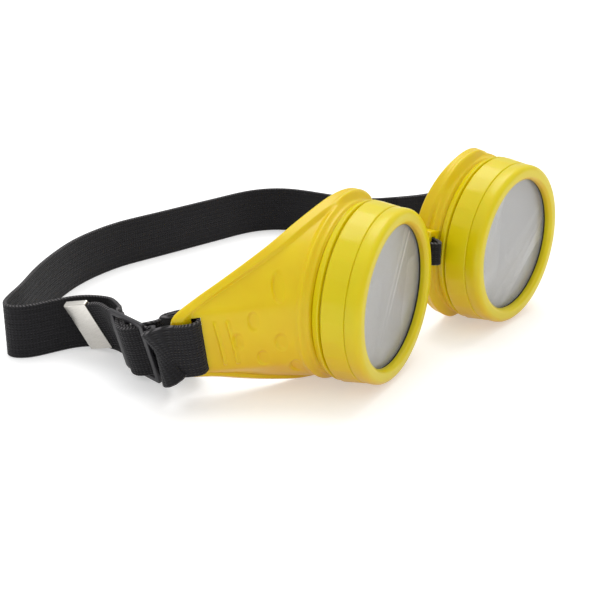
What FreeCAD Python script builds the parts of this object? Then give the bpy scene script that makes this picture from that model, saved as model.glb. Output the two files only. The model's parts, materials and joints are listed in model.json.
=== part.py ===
import FreeCAD, Part
import math
import os

# Cup welding goggles, in millimetres, standing as they are put down on a table: on the two lens rings,
# the lower edges of the two eye cups and the lower edge of the head strap.
#
# Row frame: +Z up, lenses look along -Y, +X is the wearer's left. The origin is on the table, under the
# middle of the whole object's box.
#
# Each eye cup also has a frame of its own, with its origin on the lens axis at the front face of the ring:
# out (away from the nose), back (along the lens axis, towards the face) and up. The two cups mirror each
# other in that frame. Each is toed in towards the nose and has rolled a little about its lens axis, so
# that its temple wing hangs down.

Vector = FreeCAD.Vector
SIDES = (("right", -1), ("left", 1))
LENS_TURN = FreeCAD.Rotation(Vector(1, 0, 0), -90)

doc = FreeCAD.newDocument("WeldingGoggles")
sheet = doc.addObject("Spreadsheet::Sheet", "Sizes")

SIZES = (
    ("middle_x", 0.58, "midpoint between the two ring fronts, from the origin"),
    ("middle_y", -72.32, "midpoint between the two ring fronts, from the origin"),
    ("ring_half_gap", 4.2, "half the sideways gap between the rings' gripping flats"),
    ("ring_half_stagger", 5.6, "half of how far the left cup stands ahead of the right one"),
    ("toe_in_angle", 4.975, "each lens axis turns in towards the nose, degrees"),
    ("roll_angle", 12.0, "each wing hangs down about its lens axis, degrees"),
    ("lens_radius", 25.0, "round welding lens, 50 mm across"),
    ("cover_lens_thickness", 1.5, "clear cover lens"),
    ("filter_lens_thickness", 3.0, "dark filter lens"),
    ("backing_lens_thickness", 1.5, "clear impact lens behind the filter"),
    ("front_gasket_thickness", 0.6, "washer between the ring's lip and the cover lens"),
    ("seat_gasket_thickness", 1.0, "washer between the backing lens and its seat"),
    ("gasket_face", 1.6, "how wide both washers are"),
    ("lens_clearance", 0.08, "lens in barrel, radial"),
    ("barrel_wall", 1.8, "wall of the cup's barrel around the lenses"),
    ("barrel_start", 4.2, "front end of the barrel, behind the ring's front face"),
    ("thread_clearance", 0.08, "ring on barrel, radial"),
    ("ring_wall", 1.34, "ring's wall around its bore, ahead of the flats"),
    ("ring_flat_rise", 1.1, "corners of the gripping flats, out from the bezel"),
    ("ring_length", 15.8, "ring, front to back"),
    ("ring_band_start", 5.0, "front of the gripping flats"),
    ("ring_flange_length", 2.5, "flange behind the groove"),
    ("ring_flange_taper", 0.2, "flange, in from the flats in front and out from the bezel behind"),
    ("ring_groove_depth", 0.5, "groove behind the gripping flats"),
    ("ring_groove_width", 0.8, "groove behind the gripping flats"),
    ("ring_edge_round", 1.2, "rounding of the ring's front edge"),
    ("ring_flats", 28, "gripping flats around the ring"),
    ("lip_cover", 1.75, "how far the ring's lip covers the lens"),
    ("lip_clearance", 0.02, "between the ring's lip and the front washer"),
    ("lip_thickness", 2.4, "ring's lip, in front of the lenses"),
    ("shelf_thickness", 2.0, "lens seat inside the barrel"),
    ("shell_gap", 0.4, "cup's shoulder behind the ring"),
    ("shell_step", 1.32, "cup's shell where it leaves the shoulder, out from the barrel"),
    ("shell_wall", 1.8, "cup's wall"),
    ("shoulder_thickness", 2.0, "plate that joins the barrel to the shell"),
    ("bead_radius", 1.1, "raised bead around the cup behind the ring"),
    ("bead_back", 2.9, "bead behind the front of the shoulder"),
    ("rim_roll", 1.2, "how far the face edge stands out from the wall"),
    ("rim_width", 4.4, "width of the thickened face edge"),
    ("wing_flare", 21.3, "tip of the wing, out from the shell"),
    ("wing_depth", 37.1, "tip of the wing, behind the shoulder"),
    ("brow_flare", 2.8, "highest point of the face edge, out from the shell"),
    ("cheek_share", 0.955, "cheek side height over brow side height"),
    ("nose_flare", 1.8, "face edge beside the nose, out from the shell"),
    ("nose_depth", 9.4, "face edge beside the nose, behind the shoulder"),
    ("brow_depth", 8.2, "face edge above the lens, behind the shoulder"),
    ("tip_margin", 1.2, "blunt end of the wing, beyond the strap's edges"),
    ("strap_width", 19.0, "three-quarter inch elastic"),
    ("strap_thickness", 1.2, "elastic"),
    ("strap_rest", 0.03, "strap's lower edge above the table"),
    ("slot_end_play", 0.6, "strap slot, longer than the strap is wide"),
    ("slot_play", 1.8, "strap slot, wider than the strap is thick"),
    ("slot_bar", 7.2, "bar between the slot and the tip of the wing"),
    ("grip_rib_height", 0.5, "two raised ribs ahead of the slot"),
    ("grip_rib_width", 0.9, "two raised ribs ahead of the slot"),
    ("grip_rib_pitch", 3.6, "from the slot to the first rib, and between the ribs"),
    ("grip_rib_length", 17.4, "two raised ribs ahead of the slot"),
    ("lug_depth", 4.6, "bridge lug, along the lens axis"),
    ("lug_bar", 1.8, "bridge lug above and below its slot"),
    ("lug_reach", 5.6, "bridge lug, out from the shell"),
    ("lug_drop", 3.0, "bridge lug below the lens axis"),
    ("bridge_width", 8.0, "bridge strap, up and down"),
    ("bridge_thickness", 1.2, "bridge strap"),
    ("bridge_slot_play", 1.2, "slot in the lug, wider than the bridge strap is thick"),
    ("bridge_slot_end_play", 0.8, "slot in the lug, taller than the bridge strap"),
    ("bridge_clip_thickness", 0.5, "metal clip on the end of the bridge strap"),
    ("bridge_clip_length", 2.6, "metal clip on the end of the bridge strap"),
    ("slider_rail", 1.8, "adjuster's rails along both edges of the strap"),
    ("slider_thickness", 1.3, "adjuster's frame"),
    ("slider_centre_bar", 1.8, "adjuster's middle bar"),
    ("slider_end_bar", 2.2, "adjuster's end bars"),
    ("slider_window_slack", 2.6, "each window of the adjuster, longer than three thicknesses of strap"),
    ("slider_window_play", 1.0, "each window of the adjuster, taller than the strap is wide"),
    ("layer_gap", 0.25, "between two layers of strap"),
    ("crimp_width", 9.0, "metal end of the strap, along the strap"),
    ("crimp_metal", 0.5, "metal end of the strap, sheet thickness"),
    ("crimp_gap", 0.15, "strap in its metal end, all round"),
)
for row, (alias, value, note) in enumerate(SIZES, start=1):
    sheet.set("A%d" % row, note)
    sheet.set("B%d" % row, str(value))
    sheet.setAlias("B%d" % row, alias)
doc.recompute()


def size(alias):
    """One driving dimension, read from the sheet."""
    return float(getattr(sheet, alias))


# ---------------------------------------------------------------- places worked out from the sizes

barrel_bore = size("lens_radius") + size("lens_clearance")
barrel_radius = barrel_bore + size("barrel_wall")
bore_radius = barrel_radius + size("thread_clearance")
bezel_radius = bore_radius + size("ring_wall")
band_radius = bezel_radius + size("ring_flat_rise")
shell_radius = barrel_radius + size("shell_step")
front_gasket_front = size("lip_thickness") + size("lip_clearance")
cover_front = front_gasket_front + size("front_gasket_thickness")
filter_front = cover_front + size("cover_lens_thickness")
backing_front = filter_front + size("filter_lens_thickness")
seat_gasket_front = backing_front + size("backing_lens_thickness")
seat_front = seat_gasket_front + size("seat_gasket_thickness")
window_radius = size("lens_radius") - size("gasket_face")
shoulder_front = size("ring_length") + size("shell_gap")
axis_height = band_radius
groove_front = size("ring_length") - size("ring_flange_length") - size("ring_groove_width")
wing_reach = shell_radius + size("wing_flare")
nose_reach = shell_radius + size("nose_flare")
rim_half_height = shell_radius + size("brow_flare")
wing_back = shoulder_front + size("wing_depth")
nose_back = shoulder_front + size("nose_depth")
brow_back = shoulder_front + size("brow_depth")
slot_length = size("strap_width") + size("slot_end_play")
slot_width = size("strap_thickness") + size("slot_play")
bridge_slot_width = size("bridge_thickness") + size("bridge_slot_play")
bridge_slot_height = size("bridge_width") + size("bridge_slot_end_play")
lug_height = bridge_slot_height + 2 * size("lug_bar")
slider_window = 3 * size("strap_thickness") + size("slider_window_slack")
slider_window_height = size("strap_width") + size("slider_window_play")
slider_height = slider_window_height + 2 * size("slider_rail")

# The same, as expressions that the ring's primitives are bound to.
BORE_RADIUS = "Sizes.lens_radius + Sizes.lens_clearance + Sizes.barrel_wall + Sizes.thread_clearance"
BEZEL_RADIUS = BORE_RADIUS + " + Sizes.ring_wall"
BAND_RADIUS = BEZEL_RADIUS + " + Sizes.ring_flat_rise"
GROOVE_FRONT = "Sizes.ring_length - Sizes.ring_flange_length - Sizes.ring_groove_width"
SLIDER_WINDOW = "3 * Sizes.strap_thickness + Sizes.slider_window_slack"


def cup_rotation(side):
    toe = FreeCAD.Rotation(Vector(0, 0, 1), -side * size("toe_in_angle"))
    roll = FreeCAD.Rotation(Vector(0, 1, 0), side * size("roll_angle"))
    return toe.multiply(roll)


def cup_origin(side):
    x = size("middle_x") + side * (band_radius + size("ring_half_gap"))
    y = size("middle_y") - side * size("ring_half_stagger")
    return Vector(x, y, axis_height)


def cup_frame(side):
    return FreeCAD.Placement(cup_origin(side), cup_rotation(side))


def cup_point(side, out, back, up=0.0):
    """A point of one cup's own frame, in the row frame."""
    return cup_frame(side).multVec(Vector(side * out, back, up))


def on_lens_axis(side, back):
    """Placement of a round piece whose own Z runs back along the lens axis."""
    return cup_frame(side).multiply(FreeCAD.Placement(Vector(0, back, 0), LENS_TURN))


def bound(kind, name, sizes, placement=None):
    """A Part primitive whose sizes follow the sheet."""
    piece = doc.addObject(kind, name)
    for prop, expression in sizes.items():
        piece.setExpression(prop, expression)
    if placement is not None:
        piece.Placement = placement
    return piece


def disc(name, side, back, radius, height):
    return bound("Part::Cylinder", name, {"Radius": radius, "Height": height}, on_lens_axis(side, back))


def cut(name, base, tool):
    piece = doc.addObject("Part::Cut", name)
    piece.Base = base
    piece.Tool = tool
    return piece


def fuse(name, shapes):
    piece = doc.addObject("Part::MultiFuse", name)
    piece.Shapes = shapes
    return piece


def feature(name, shape):
    piece = doc.addObject("Part::Feature", name)
    piece.Shape = shape
    return piece


# ---------------------------------------------------------------- lenses, washers and screw rings


def washer(name, side, back, thickness):
    """A flat ring as large as the lens."""
    plate = disc(name + "_plate", side, back, "Sizes.lens_radius", thickness)
    hole = disc(name + "_hole", side, back, "Sizes.lens_radius - Sizes.gasket_face", thickness)
    return cut(name, plate, hole)


def lens_ring(name, side):
    """A screw ring: bezel, band of gripping flats, groove and rear flange around a stepped bore."""
    bezel = disc(name + "_bezel", side, 0, BEZEL_RADIUS, "Sizes.ring_band_start")
    doc.recompute()
    edge = bound("Part::Fillet", name + "_bezel_edge", {})
    edge.Base = bezel
    edge.Edges = [(front_edge_number(bezel, side), size("ring_edge_round"), size("ring_edge_round"))]
    band = bound(
        "Part::Prism",
        name + "_flats",
        {
            "Polygon": "Sizes.ring_flats",
            "Circumradius": BAND_RADIUS,
            "Height": GROOVE_FRONT + " - Sizes.ring_band_start",
        },
        on_lens_axis(side, size("ring_band_start")),
    )
    groove = disc(
        name + "_groove",
        side,
        groove_front,
        BEZEL_RADIUS + " - Sizes.ring_groove_depth",
        "Sizes.ring_groove_width",
    )
    flange = bound(
        "Part::Cone",
        name + "_flange",
        {
            "Radius1": BAND_RADIUS + " - Sizes.ring_flange_taper",
            "Radius2": BEZEL_RADIUS + " + Sizes.ring_flange_taper",
            "Height": "Sizes.ring_flange_length",
        },
        on_lens_axis(side, groove_front + size("ring_groove_width")),
    )
    bore = disc(
        name + "_bore", side, size("lip_thickness"), BORE_RADIUS, "Sizes.ring_length - Sizes.lip_thickness"
    )
    opening = disc(name + "_opening", side, 0, "Sizes.lens_radius - Sizes.lip_cover", "Sizes.lip_thickness")
    outside = fuse(name + "_outside", [edge, band, groove, flange])
    inside = fuse(name + "_inside", [bore, opening])
    return cut(name, outside, inside)


def front_edge_number(cylinder, side):
    """The number of the edge around the cylinder's front face."""
    front = cup_origin(side)
    distances = [
        (edge.CenterOfMass.distanceToPoint(front), -edge.Length, number)
        for number, edge in enumerate(cylinder.Shape.Edges, start=1)
        if edge.Closed
    ]
    return min(distances)[2]


# ---------------------------------------------------------------- eye cups

# Shape of the face edge, brow side, from the wing's tip over the brow to the nose: out as a share of the
# reach on that side, and up as a share of the blunt tip's half height, then of the brow height.
TIP_EDGE = (
    (1.0, 0.0),
    (0.998, 0.58),
    (0.98, 1.0),
    (0.9, 1.246),
    (0.8, 1.478),
    (0.69, 1.782),
)
BROW_EDGE = (
    (0.475, 0.8),
    (0.29, 0.905),
    (0.1, 0.975),
    (-0.17, 1.0),
    (-0.5, 0.925),
    (-0.79, 0.72),
    (-0.95, 0.39),
    (-1.0, 0.0),
)
LOFT_PAST_TIP = 8.7


def face_depth_points():
    """The face edge seen from above: out against back, from past the nose to past the wing's tip."""
    nose = nose_reach
    reach = wing_reach
    brow = brow_back
    dip = brow - 2.2
    rise = wing_back - brow
    return [
        (-nose - 10.0, nose_back + 9.0),
        (-nose, nose_back),
        (-0.5 * nose, dip),
        (0.0, brow),
        (0.3 * reach, brow + 0.17 * rise),
        (0.6 * reach, brow + 0.46 * rise),
        (0.82 * reach, brow + 0.79 * rise),
        (reach, wing_back),
        (reach + 8.0, wing_back + 6.0),
    ]


def face_curve():
    points = [Vector(out, back, 0) for out, back in face_depth_points()]
    curve = Part.BSplineCurve()
    curve.interpolate(points)
    return curve


def face_depth(curve, out):
    """How far back the face edge is at this distance out from the lens axis."""
    line = Part.LineSegment(Vector(out, -20, 0), Vector(out, 120, 0))
    return curve.intersect(line)[0].Y


def face_edge_points(curve, inset):
    """The closed face edge, moved in towards the lens axis by inset."""
    brow_side = []
    tip_half_height = size("strap_width") / 2 + size("tip_margin")
    for edge, height in ((TIP_EDGE, tip_half_height), (BROW_EDGE, rim_half_height)):
        for out_share, up_share in edge:
            out = out_share * (wing_reach if out_share > 0 else nose_reach)
            brow_side.append((out, face_depth(curve, out), up_share * height))
    cheek_side = [(out, back, -up * size("cheek_share")) for out, back, up in brow_side[1:-1]]
    points = []
    for out, back, up in brow_side + cheek_side[::-1]:
        share = 1.0 - inset / math.hypot(out, up)
        points.append(Vector(out * share, back, up * share))
    return points


def closed_curve(points):
    curve = Part.BSplineCurve()
    knots = [float(index) for index in range(len(points) + 1)]
    curve.interpolate(Points=points, PeriodicFlag=True, Parameters=knots)
    return Part.Wire([curve.toShape()])


def funnel(curve, inset, start_radius, start_back):
    """The solid between a circle behind the ring and the face edge, run on past the face edge."""
    circle = []
    far_end = []
    for point in face_edge_points(curve, inset):
        angle = math.atan2(point.z, point.x)
        # near the tip of the wing the wall is flat, so its lines leave the circle further round
        spread = 1.0 + 0.75 * max(0.0, math.cos(angle)) ** 6
        near = Vector(start_radius * math.cos(angle * spread), start_back, start_radius * math.sin(angle * spread))
        reach = ((wing_back + LOFT_PAST_TIP) - start_back) / (point.y - start_back)
        circle.append(near)
        far_end.append(near + (point - near) * reach)
    return Part.makeLoft([closed_curve(circle), closed_curve(far_end)], True, True)


def region_behind(curve, forward):
    """Everything behind the face curve, moved forward by this much."""
    moved = curve.copy()
    moved.translate(Vector(0, -forward, 0))
    start = moved.StartPoint
    end = moved.EndPoint
    corners = [end, Vector(end.x, 140, 0), Vector(start.x, 140, 0), start]
    edges = [moved.toShape()] + [Part.makeLine(a, b) for a, b in zip(corners, corners[1:])]
    face = Part.Face(Part.Wire(edges))
    face.translate(Vector(0, 0, -90))
    return face.extrude(Vector(0, 0, 180))


def tube(outer, inner, start, end):
    """A round tube about the lens axis, in a cup's own frame."""
    back = Vector(0, 1, 0)
    whole = Part.makeCylinder(outer, end - start, Vector(0, start, 0), back)
    return whole.cut(Part.makeCylinder(inner, end - start, Vector(0, start, 0), back))


def wing_direction():
    """Unit vectors along the wing's outer wall and out of it, in a cup's own frame, and its length."""
    along = Vector(wing_reach - shell_radius, wing_back - shoulder_front, 0)
    length = along.Length
    along.normalize()
    return along, Vector(along.y, -along.x, 0), length


def wing_point(distance, outward, up=0.0):
    """A point near the wing: distance from the shoulder along the wall, and outward from it."""
    along, outwards, length = wing_direction()
    return Vector(shell_radius, shoulder_front, 0) + along * distance + outwards * outward + Vector(0, 0, up)


def wing_box(distance, width, outward, depth, height, up=0.0):
    """A box square to the wing's wall, centred on the given distance along it and depth deep inwards."""
    along, outwards, length = wing_direction()
    box = Part.makeBox(width, depth, height, Vector(-width / 2, 0, -height / 2))
    box.rotate(Vector(0, 0, 0), Vector(0, 0, 1), math.degrees(math.atan2(along.y, along.x)))
    box.translate(wing_point(distance, outward, up))
    return box


def slot_centre_distance():
    along, outwards, length = wing_direction()
    return length - size("slot_bar") - slot_width / 2


def bridge_lug():
    """A block beside the nose with an upright slot for the bridge strap."""
    reach = shell_radius + size("lug_reach")
    front = shoulder_front + 0.3
    block = Part.makeBox(
        size("lug_reach") + 3.0,
        size("lug_depth"),
        lug_height,
        Vector(-reach, front, -size("lug_drop") - lug_height / 2),
    )
    slot = Part.makeBox(
        bridge_slot_width,
        size("lug_depth") + 2.0,
        bridge_slot_height,
        Vector(-reach + 1.2, front - 1.0, -size("lug_drop") - bridge_slot_height / 2),
    )
    upright = [edge for edge in block.Edges if abs(edge.tangentAt(edge.FirstParameter).z) > 0.99]
    outer = [edge for edge in upright if edge.CenterOfMass.x < -reach + 0.1]
    return block.makeFillet(0.9, outer), slot


def eye_cup():
    """One cup in its own frame, for the wearer's left."""
    curve = face_curve()
    wall = size("shell_wall")
    roll = size("rim_roll")
    outside = funnel(curve, roll, shell_radius, shoulder_front)
    flared = funnel(curve, 0.0, shell_radius + roll, shoulder_front)
    hollow = funnel(curve, roll + wall, shell_radius - wall, shoulder_front)
    beyond = region_behind(curve, 0.0)
    edge_zone = region_behind(curve, size("rim_width"))
    shell = outside.cut(beyond)
    edge_band = flared.cut(beyond).common(edge_zone)
    shoulder_back = shoulder_front + size("shoulder_thickness")
    plate = tube(shell_radius, barrel_bore, shoulder_front, shoulder_back)
    barrel = tube(barrel_radius, barrel_bore, size("barrel_start"), shoulder_back)
    shelf = tube(barrel_radius, window_radius, seat_front, seat_front + size("shelf_thickness"))
    bead = Part.makeTorus(
        shell_radius - 0.3,
        size("bead_radius"),
        Vector(0, shoulder_front + size("bead_back"), 0),
        Vector(0, 1, 0),
    )
    lug, lug_slot = bridge_lug()
    cup = shell.fuse([edge_band, bead, lug])
    cup = cup.cut([hollow, lug_slot])
    cup = cup.fuse([plate, barrel, shelf])
    slot = wing_box(slot_centre_distance(), slot_width, 6.0, 14.0, slot_length)
    cup = cup.cut(slot)
    window = Part.makeCylinder(window_radius, shoulder_back, Vector(0, 0, 0), Vector(0, 1, 0))
    cup = cup.cut(window)
    proud = size("grip_rib_height")
    rib_skin = funnel(curve, roll - proud, shell_radius + proud, shoulder_front)
    for number in (1, 2):
        distance = slot_centre_distance() - slot_width / 2 - size("grip_rib_pitch") * number
        band = wing_box(distance, size("grip_rib_width"), 4.0, 5.0 + roll, size("grip_rib_length"))
        cup = cup.fuse(rib_skin.common(band).cut(hollow))
    return cup.removeSplitter()


# ---------------------------------------------------------------- straps


class Station:
    """One place along a strap: its centre and the way its width points."""

    def __init__(self, centre, across):
        self.centre = centre
        self.across = across


def free_station(x, y, z, lean=0.0, slant=0.0):
    """A place given from the midpoint between the rings. The top leans out along X by lean degrees and
    back along Y by slant degrees."""
    centre = Vector(size("middle_x") + x, size("middle_y") + y, z + size("strap_rest"))
    across = Vector(math.tan(math.radians(lean)), math.tan(math.radians(slant)), 1.0)
    return Station(centre, across)


def strap_station(x, y, rise, lean=0.0):
    """The same for the head strap, with how far its lower edge is above the table in place of z."""
    return free_station(x, y, rise + size("strap_width") / 2, lean)


def wing_station(side, distance, outward):
    """A place given from one cup's wing."""
    local = wing_point(distance, outward)
    across = cup_rotation(side).multVec(Vector(0, 0, 1))
    return Station(cup_point(side, local.x, local.y), across)


def ribbon(stations, width, thickness, spacing):
    """A strap of constant section along a smooth line through the stations."""
    points = [station.centre for station in stations]
    parameters = [0.0]
    for a, b in zip(points, points[1:]):
        parameters.append(parameters[-1] + math.sqrt((b - a).Length))
    line = Part.BSplineCurve()
    line.interpolate(Points=points, Parameters=parameters)
    sections = []
    for index in range(len(points) - 1):
        steps = max(1, math.ceil((points[index + 1] - points[index]).Length / spacing))
        last = index == len(points) - 2
        for step in range(steps + 1 if last else steps):
            share = step / steps
            parameter = parameters[index] + (parameters[index + 1] - parameters[index]) * share
            across = stations[index].across * (1 - share) + stations[index + 1].across * share
            sections.append(ribbon_section(line, parameter, across, width, thickness))
    return Part.makeLoft(sections, True, True)


def ribbon_section(line, parameter, across, width, thickness):
    centre = line.value(parameter)
    tangent = line.tangent(parameter)[0]
    level = Vector(tangent.x, tangent.y, 0).normalize()
    across = Vector(across)
    # the width is measured square to the strap's own direction
    square = across - tangent * across.dot(tangent)
    across = across * (width / 2 / square.Length)
    outwards = level.cross(across).normalize() * (thickness / 2)
    corners = [
        centre + across + outwards,
        centre + across - outwards,
        centre - across - outwards,
        centre - across + outwards,
    ]
    return Part.makePolygon(corners + corners[:1])


# The adjuster's own frame: along the strap towards the back of the head, across the strap, and outwards.
SLIDER_CENTRE = (-77.9, 76.8)
SLIDER_LEAN = -16.0
SLIDER_HEADING = 13.6


def slider_frame():
    half_height = slider_height / 2
    along_turn = FreeCAD.Rotation(Vector(0, 0, 1), 90 - SLIDER_HEADING)
    lean_turn = FreeCAD.Rotation(Vector(1, 0, 0), SLIDER_LEAN)
    height = half_height * math.cos(math.radians(SLIDER_LEAN)) + size("slider_thickness") / 2
    base = Vector(size("middle_x") + SLIDER_CENTRE[0], size("middle_y") + SLIDER_CENTRE[1], height)
    return FreeCAD.Placement(base, along_turn.multiply(lean_turn))


def weave(along, layer):
    """Where a strap layer runs through the adjuster: layer 0 lies on the middle bar, 1 outside it.
    Returns how far along the adjuster and how far out of its mid-plane."""
    half_strap = size("strap_thickness") / 2
    half_frame = size("slider_thickness") / 2
    pitch = size("strap_thickness") + size("layer_gap")
    crest = half_frame + half_strap + 0.35
    trough = -(half_frame + half_strap + 0.2) - pitch
    half_wave = (size("slider_centre_bar") + size("slider_end_bar")) / 2 + slider_window - 0.5
    swing = math.pi * along / half_wave
    middle = (crest + trough) / 2
    height = (crest - trough) / 2
    out = middle + height * math.cos(swing)
    slope = -height * math.sin(swing) * math.pi / half_wave
    scale = pitch * layer / math.hypot(1, slope)
    return along - slope * scale, out + scale


def slider_station(along, layer):
    place, out = weave(along, layer)
    frame = slider_frame()
    centre = frame.multVec(Vector(place, out, 0))
    return Station(centre, frame.Rotation.multVec(Vector(0, 0, 1)))


def slider_exit(end, layer):
    """Where a layer has passed under an end bar of the adjuster: end is 1 towards the back of the head."""
    half_length = size("slider_centre_bar") / 2 + slider_window + size("slider_end_bar")
    place, out = weave(end * (half_length - size("slider_end_bar")), layer)
    frame = slider_frame()
    across = frame.Rotation.multVec(Vector(0, 0, 1))
    return Station(frame.multVec(Vector(end * (half_length + 1.2), out - 0.1, 0)), across)


def weave_stations(layer, backwards):
    half_wave = (size("slider_centre_bar") + size("slider_end_bar")) / 2 + slider_window - 0.5
    count = 20
    stations = [slider_station(half_wave * (2 * step / count - 1), layer) for step in range(count + 1)]
    return stations if not backwards else stations[::-1]


def head_strap_stations():
    """The whole strap, from its sewn end at the left cup, around the back to the adjuster, through the
    right cup's slot and back through the adjuster to its metal end."""
    along, outwards, length = wing_direction()
    bar_front = length - size("slot_bar")
    clear = size("strap_thickness") / 2 + 0.5
    inside = -(size("shell_wall") + size("rim_roll")) - clear - 0.3
    around_bar = (
        (length + 0.6, clear),
        (length - 2.0, clear),
        (bar_front - 0.7, clear - 0.1),
        (bar_front - 1.9, -0.5),
        (bar_front - 1.9, -2.6),
        (bar_front - 0.4, inside),
        (length - 1.8, inside),
    )
    left_fold = [wing_station(1, distance, outward) for distance, outward in around_bar]
    right_fold = [wing_station(-1, distance, outward) for distance, outward in around_bar]
    sewn_end = [
        strap_station(80.9, 68.0, 3.1, 4),
        strap_station(82.7, 58.0, 5.3, 7),
        strap_station(84.2, 51.0, 7.3, 9),
    ]
    left_side = [
        strap_station(86.4, 51.0, 7.3, 9),
        strap_station(84.4, 58.0, 5.3, 7),
        strap_station(82.5, 68.0, 3.1, 4),
        strap_station(80.2, 82.0, 0.7, 1),
        strap_station(78.1, 97.0, 0.0),
        strap_station(76.9, 111.0, 0.0),
        strap_station(73.7, 123.0, 0.0),
        strap_station(64.5, 132.0, 0.0),
    ]
    back_run = [
        strap_station(51.0, 136.8, 0.0),
        strap_station(37.8, 140.5, 0.0),
        strap_station(13.8, 147.3, 0.0),
        strap_station(0.5, 150.9, 0.0),
        strap_station(-11.5, 152.0, 0.0),
        strap_station(-24.5, 151.2, 0.0),
        strap_station(-38.5, 147.8, 0.0),
        strap_station(-57.0, 140.8, 0.0),
        strap_station(-72.0, 133.4, 0.0),
    ]
    right_turn = [
        strap_station(-83.0, 128.6, 0.0),
        strap_station(-87.3, 124.4, 0.0),
        strap_station(-85.4, 119.2, 0.0),
        strap_station(-77.2, 114.6, 0.0),
        strap_station(-68.6, 109.9, 0.0),
        strap_station(-64.6, 104.0, 0.0),
        strap_station(-63.9, 99.0, 0.1),
        strap_station(-65.8, 94.0, 0.5, -4),
        strap_station(-69.3, 88.2, 1.3, -9),
    ]
    inner_loop = [
        strap_station(-73.4, 69.8, 2.7, -13),
        strap_station(-69.2, 70.4, 2.9, -10),
        strap_station(-66.0, 68.4, 3.3, -8),
        strap_station(-65.6, 64.0, 4.3, -8),
        strap_station(-68.4, 59.4, 5.7, -9),
        strap_station(-74.0, 56.6, 7.1, -11),
    ]
    outer_loop = [
        strap_station(-88.0, 57.8, 6.7, -13),
        strap_station(-84.0, 61.6, 5.1, -15),
        slider_exit(-1, 1),
    ]
    tail = [
        slider_exit(1, 1),
        *[tail_end_station(share) for share in (-0.5, -0.25, 0.0, 0.25, 0.5, 0.75, 1.0)],
    ]
    return (
        sewn_end
        + left_fold[::-1]
        + left_side
        + back_run
        + right_turn
        + weave_stations(0, True)[:-4]
        + inner_loop
        + right_fold[::-1]
        + outer_loop
        + weave_stations(1, False)
        + tail
    )


# The strap's metal end: where it starts, which way it points in plan, how far it dips and how far its top
# leans outwards.
TAIL_START = (-70.5, 98.5)
TAIL_HEADING = 97.7
TAIL_DIP = 13.6
TAIL_LEAN = -23.0


def tail_frame():
    """Frame of the strap's metal end: along the strap, outwards, and across the strap."""
    half_length = size("strap_width") / 2 + size("crimp_gap") + size("crimp_metal")
    dip = math.radians(TAIL_DIP)
    height = half_length * math.cos(math.radians(TAIL_LEAN)) * math.cos(dip) + size("crimp_width") * math.sin(dip)
    base = Vector(size("middle_x") + TAIL_START[0], size("middle_y") + TAIL_START[1], height + 0.6)
    heading = FreeCAD.Rotation(Vector(0, 0, 1), TAIL_HEADING)
    dip_turn = FreeCAD.Rotation(Vector(0, 1, 0), TAIL_DIP)
    lean_turn = FreeCAD.Rotation(Vector(1, 0, 0), TAIL_LEAN)
    return FreeCAD.Placement(base, heading.multiply(dip_turn).multiply(lean_turn))


def tail_end_station(share):
    frame = tail_frame()
    inside = size("crimp_width") - size("crimp_metal") - size("crimp_gap")
    return Station(frame.multVec(Vector(share * inside, 0, 0)), frame.Rotation.multVec(Vector(0, 0, 1)))


def bridge_slot_out():
    """The middle of the lug's slot, out from the lens axis."""
    return -(shell_radius + size("lug_reach")) + 1.2 + bridge_slot_width / 2


def bridge_stations():
    """The bridge strap, from the right lug, bowed forward between the rings, to the left lug."""
    drop = size("lug_drop")
    slot_out = bridge_slot_out()
    lug_middle = shoulder_front + 0.3 + size("lug_depth") / 2
    past = size("lug_depth") / 2 + 0.3 + size("bridge_clip_length") - size("bridge_clip_thickness") - 0.1
    stations = []
    for side, offsets in ((-1, (past, 1.2, -1.2, -2.9)), (1, (-2.9, -1.2, 1.2, past))):
        across = cup_rotation(side).multVec(Vector(0, 0, 1))
        lug = [Station(cup_point(side, slot_out, lug_middle + offset, -drop), across) for offset in offsets]
        stations.append(lug)
    height = stations[0][0].centre.z
    bow = [
        free_station(-1.6, 14.6, height, 4),
        free_station(1.4, 9.4, height, 0),
    ]
    return stations[0] + bow + stations[1]


# ---------------------------------------------------------------- metal and plastic fittings


def block(name, frame, corner, length, width, height):
    """A box in a fitting's own frame. Its sizes are expressions of the sheet and its corner is given in
    millimetres."""
    sizes = {"Length": length, "Width": width, "Height": height}
    return bound("Part::Box", name, sizes, frame.multiply(FreeCAD.Placement(corner, FreeCAD.Rotation())))


def edges_along(shape, frame, direction, wanted):
    """Numbers of the straight edges along one direction of a frame, whose middles pass the test."""
    world = frame.Rotation.multVec(direction)
    numbers = []
    for number, edge in enumerate(shape.Edges, start=1):
        run = edge.Vertexes[-1].Point - edge.Vertexes[0].Point
        if run.Length < 1e-6 or abs(run.normalize().dot(world)) < 0.999:
            continue
        if wanted(frame.inverse().multVec(edge.CenterOfMass)):
            numbers.append(number)
    return numbers


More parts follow.
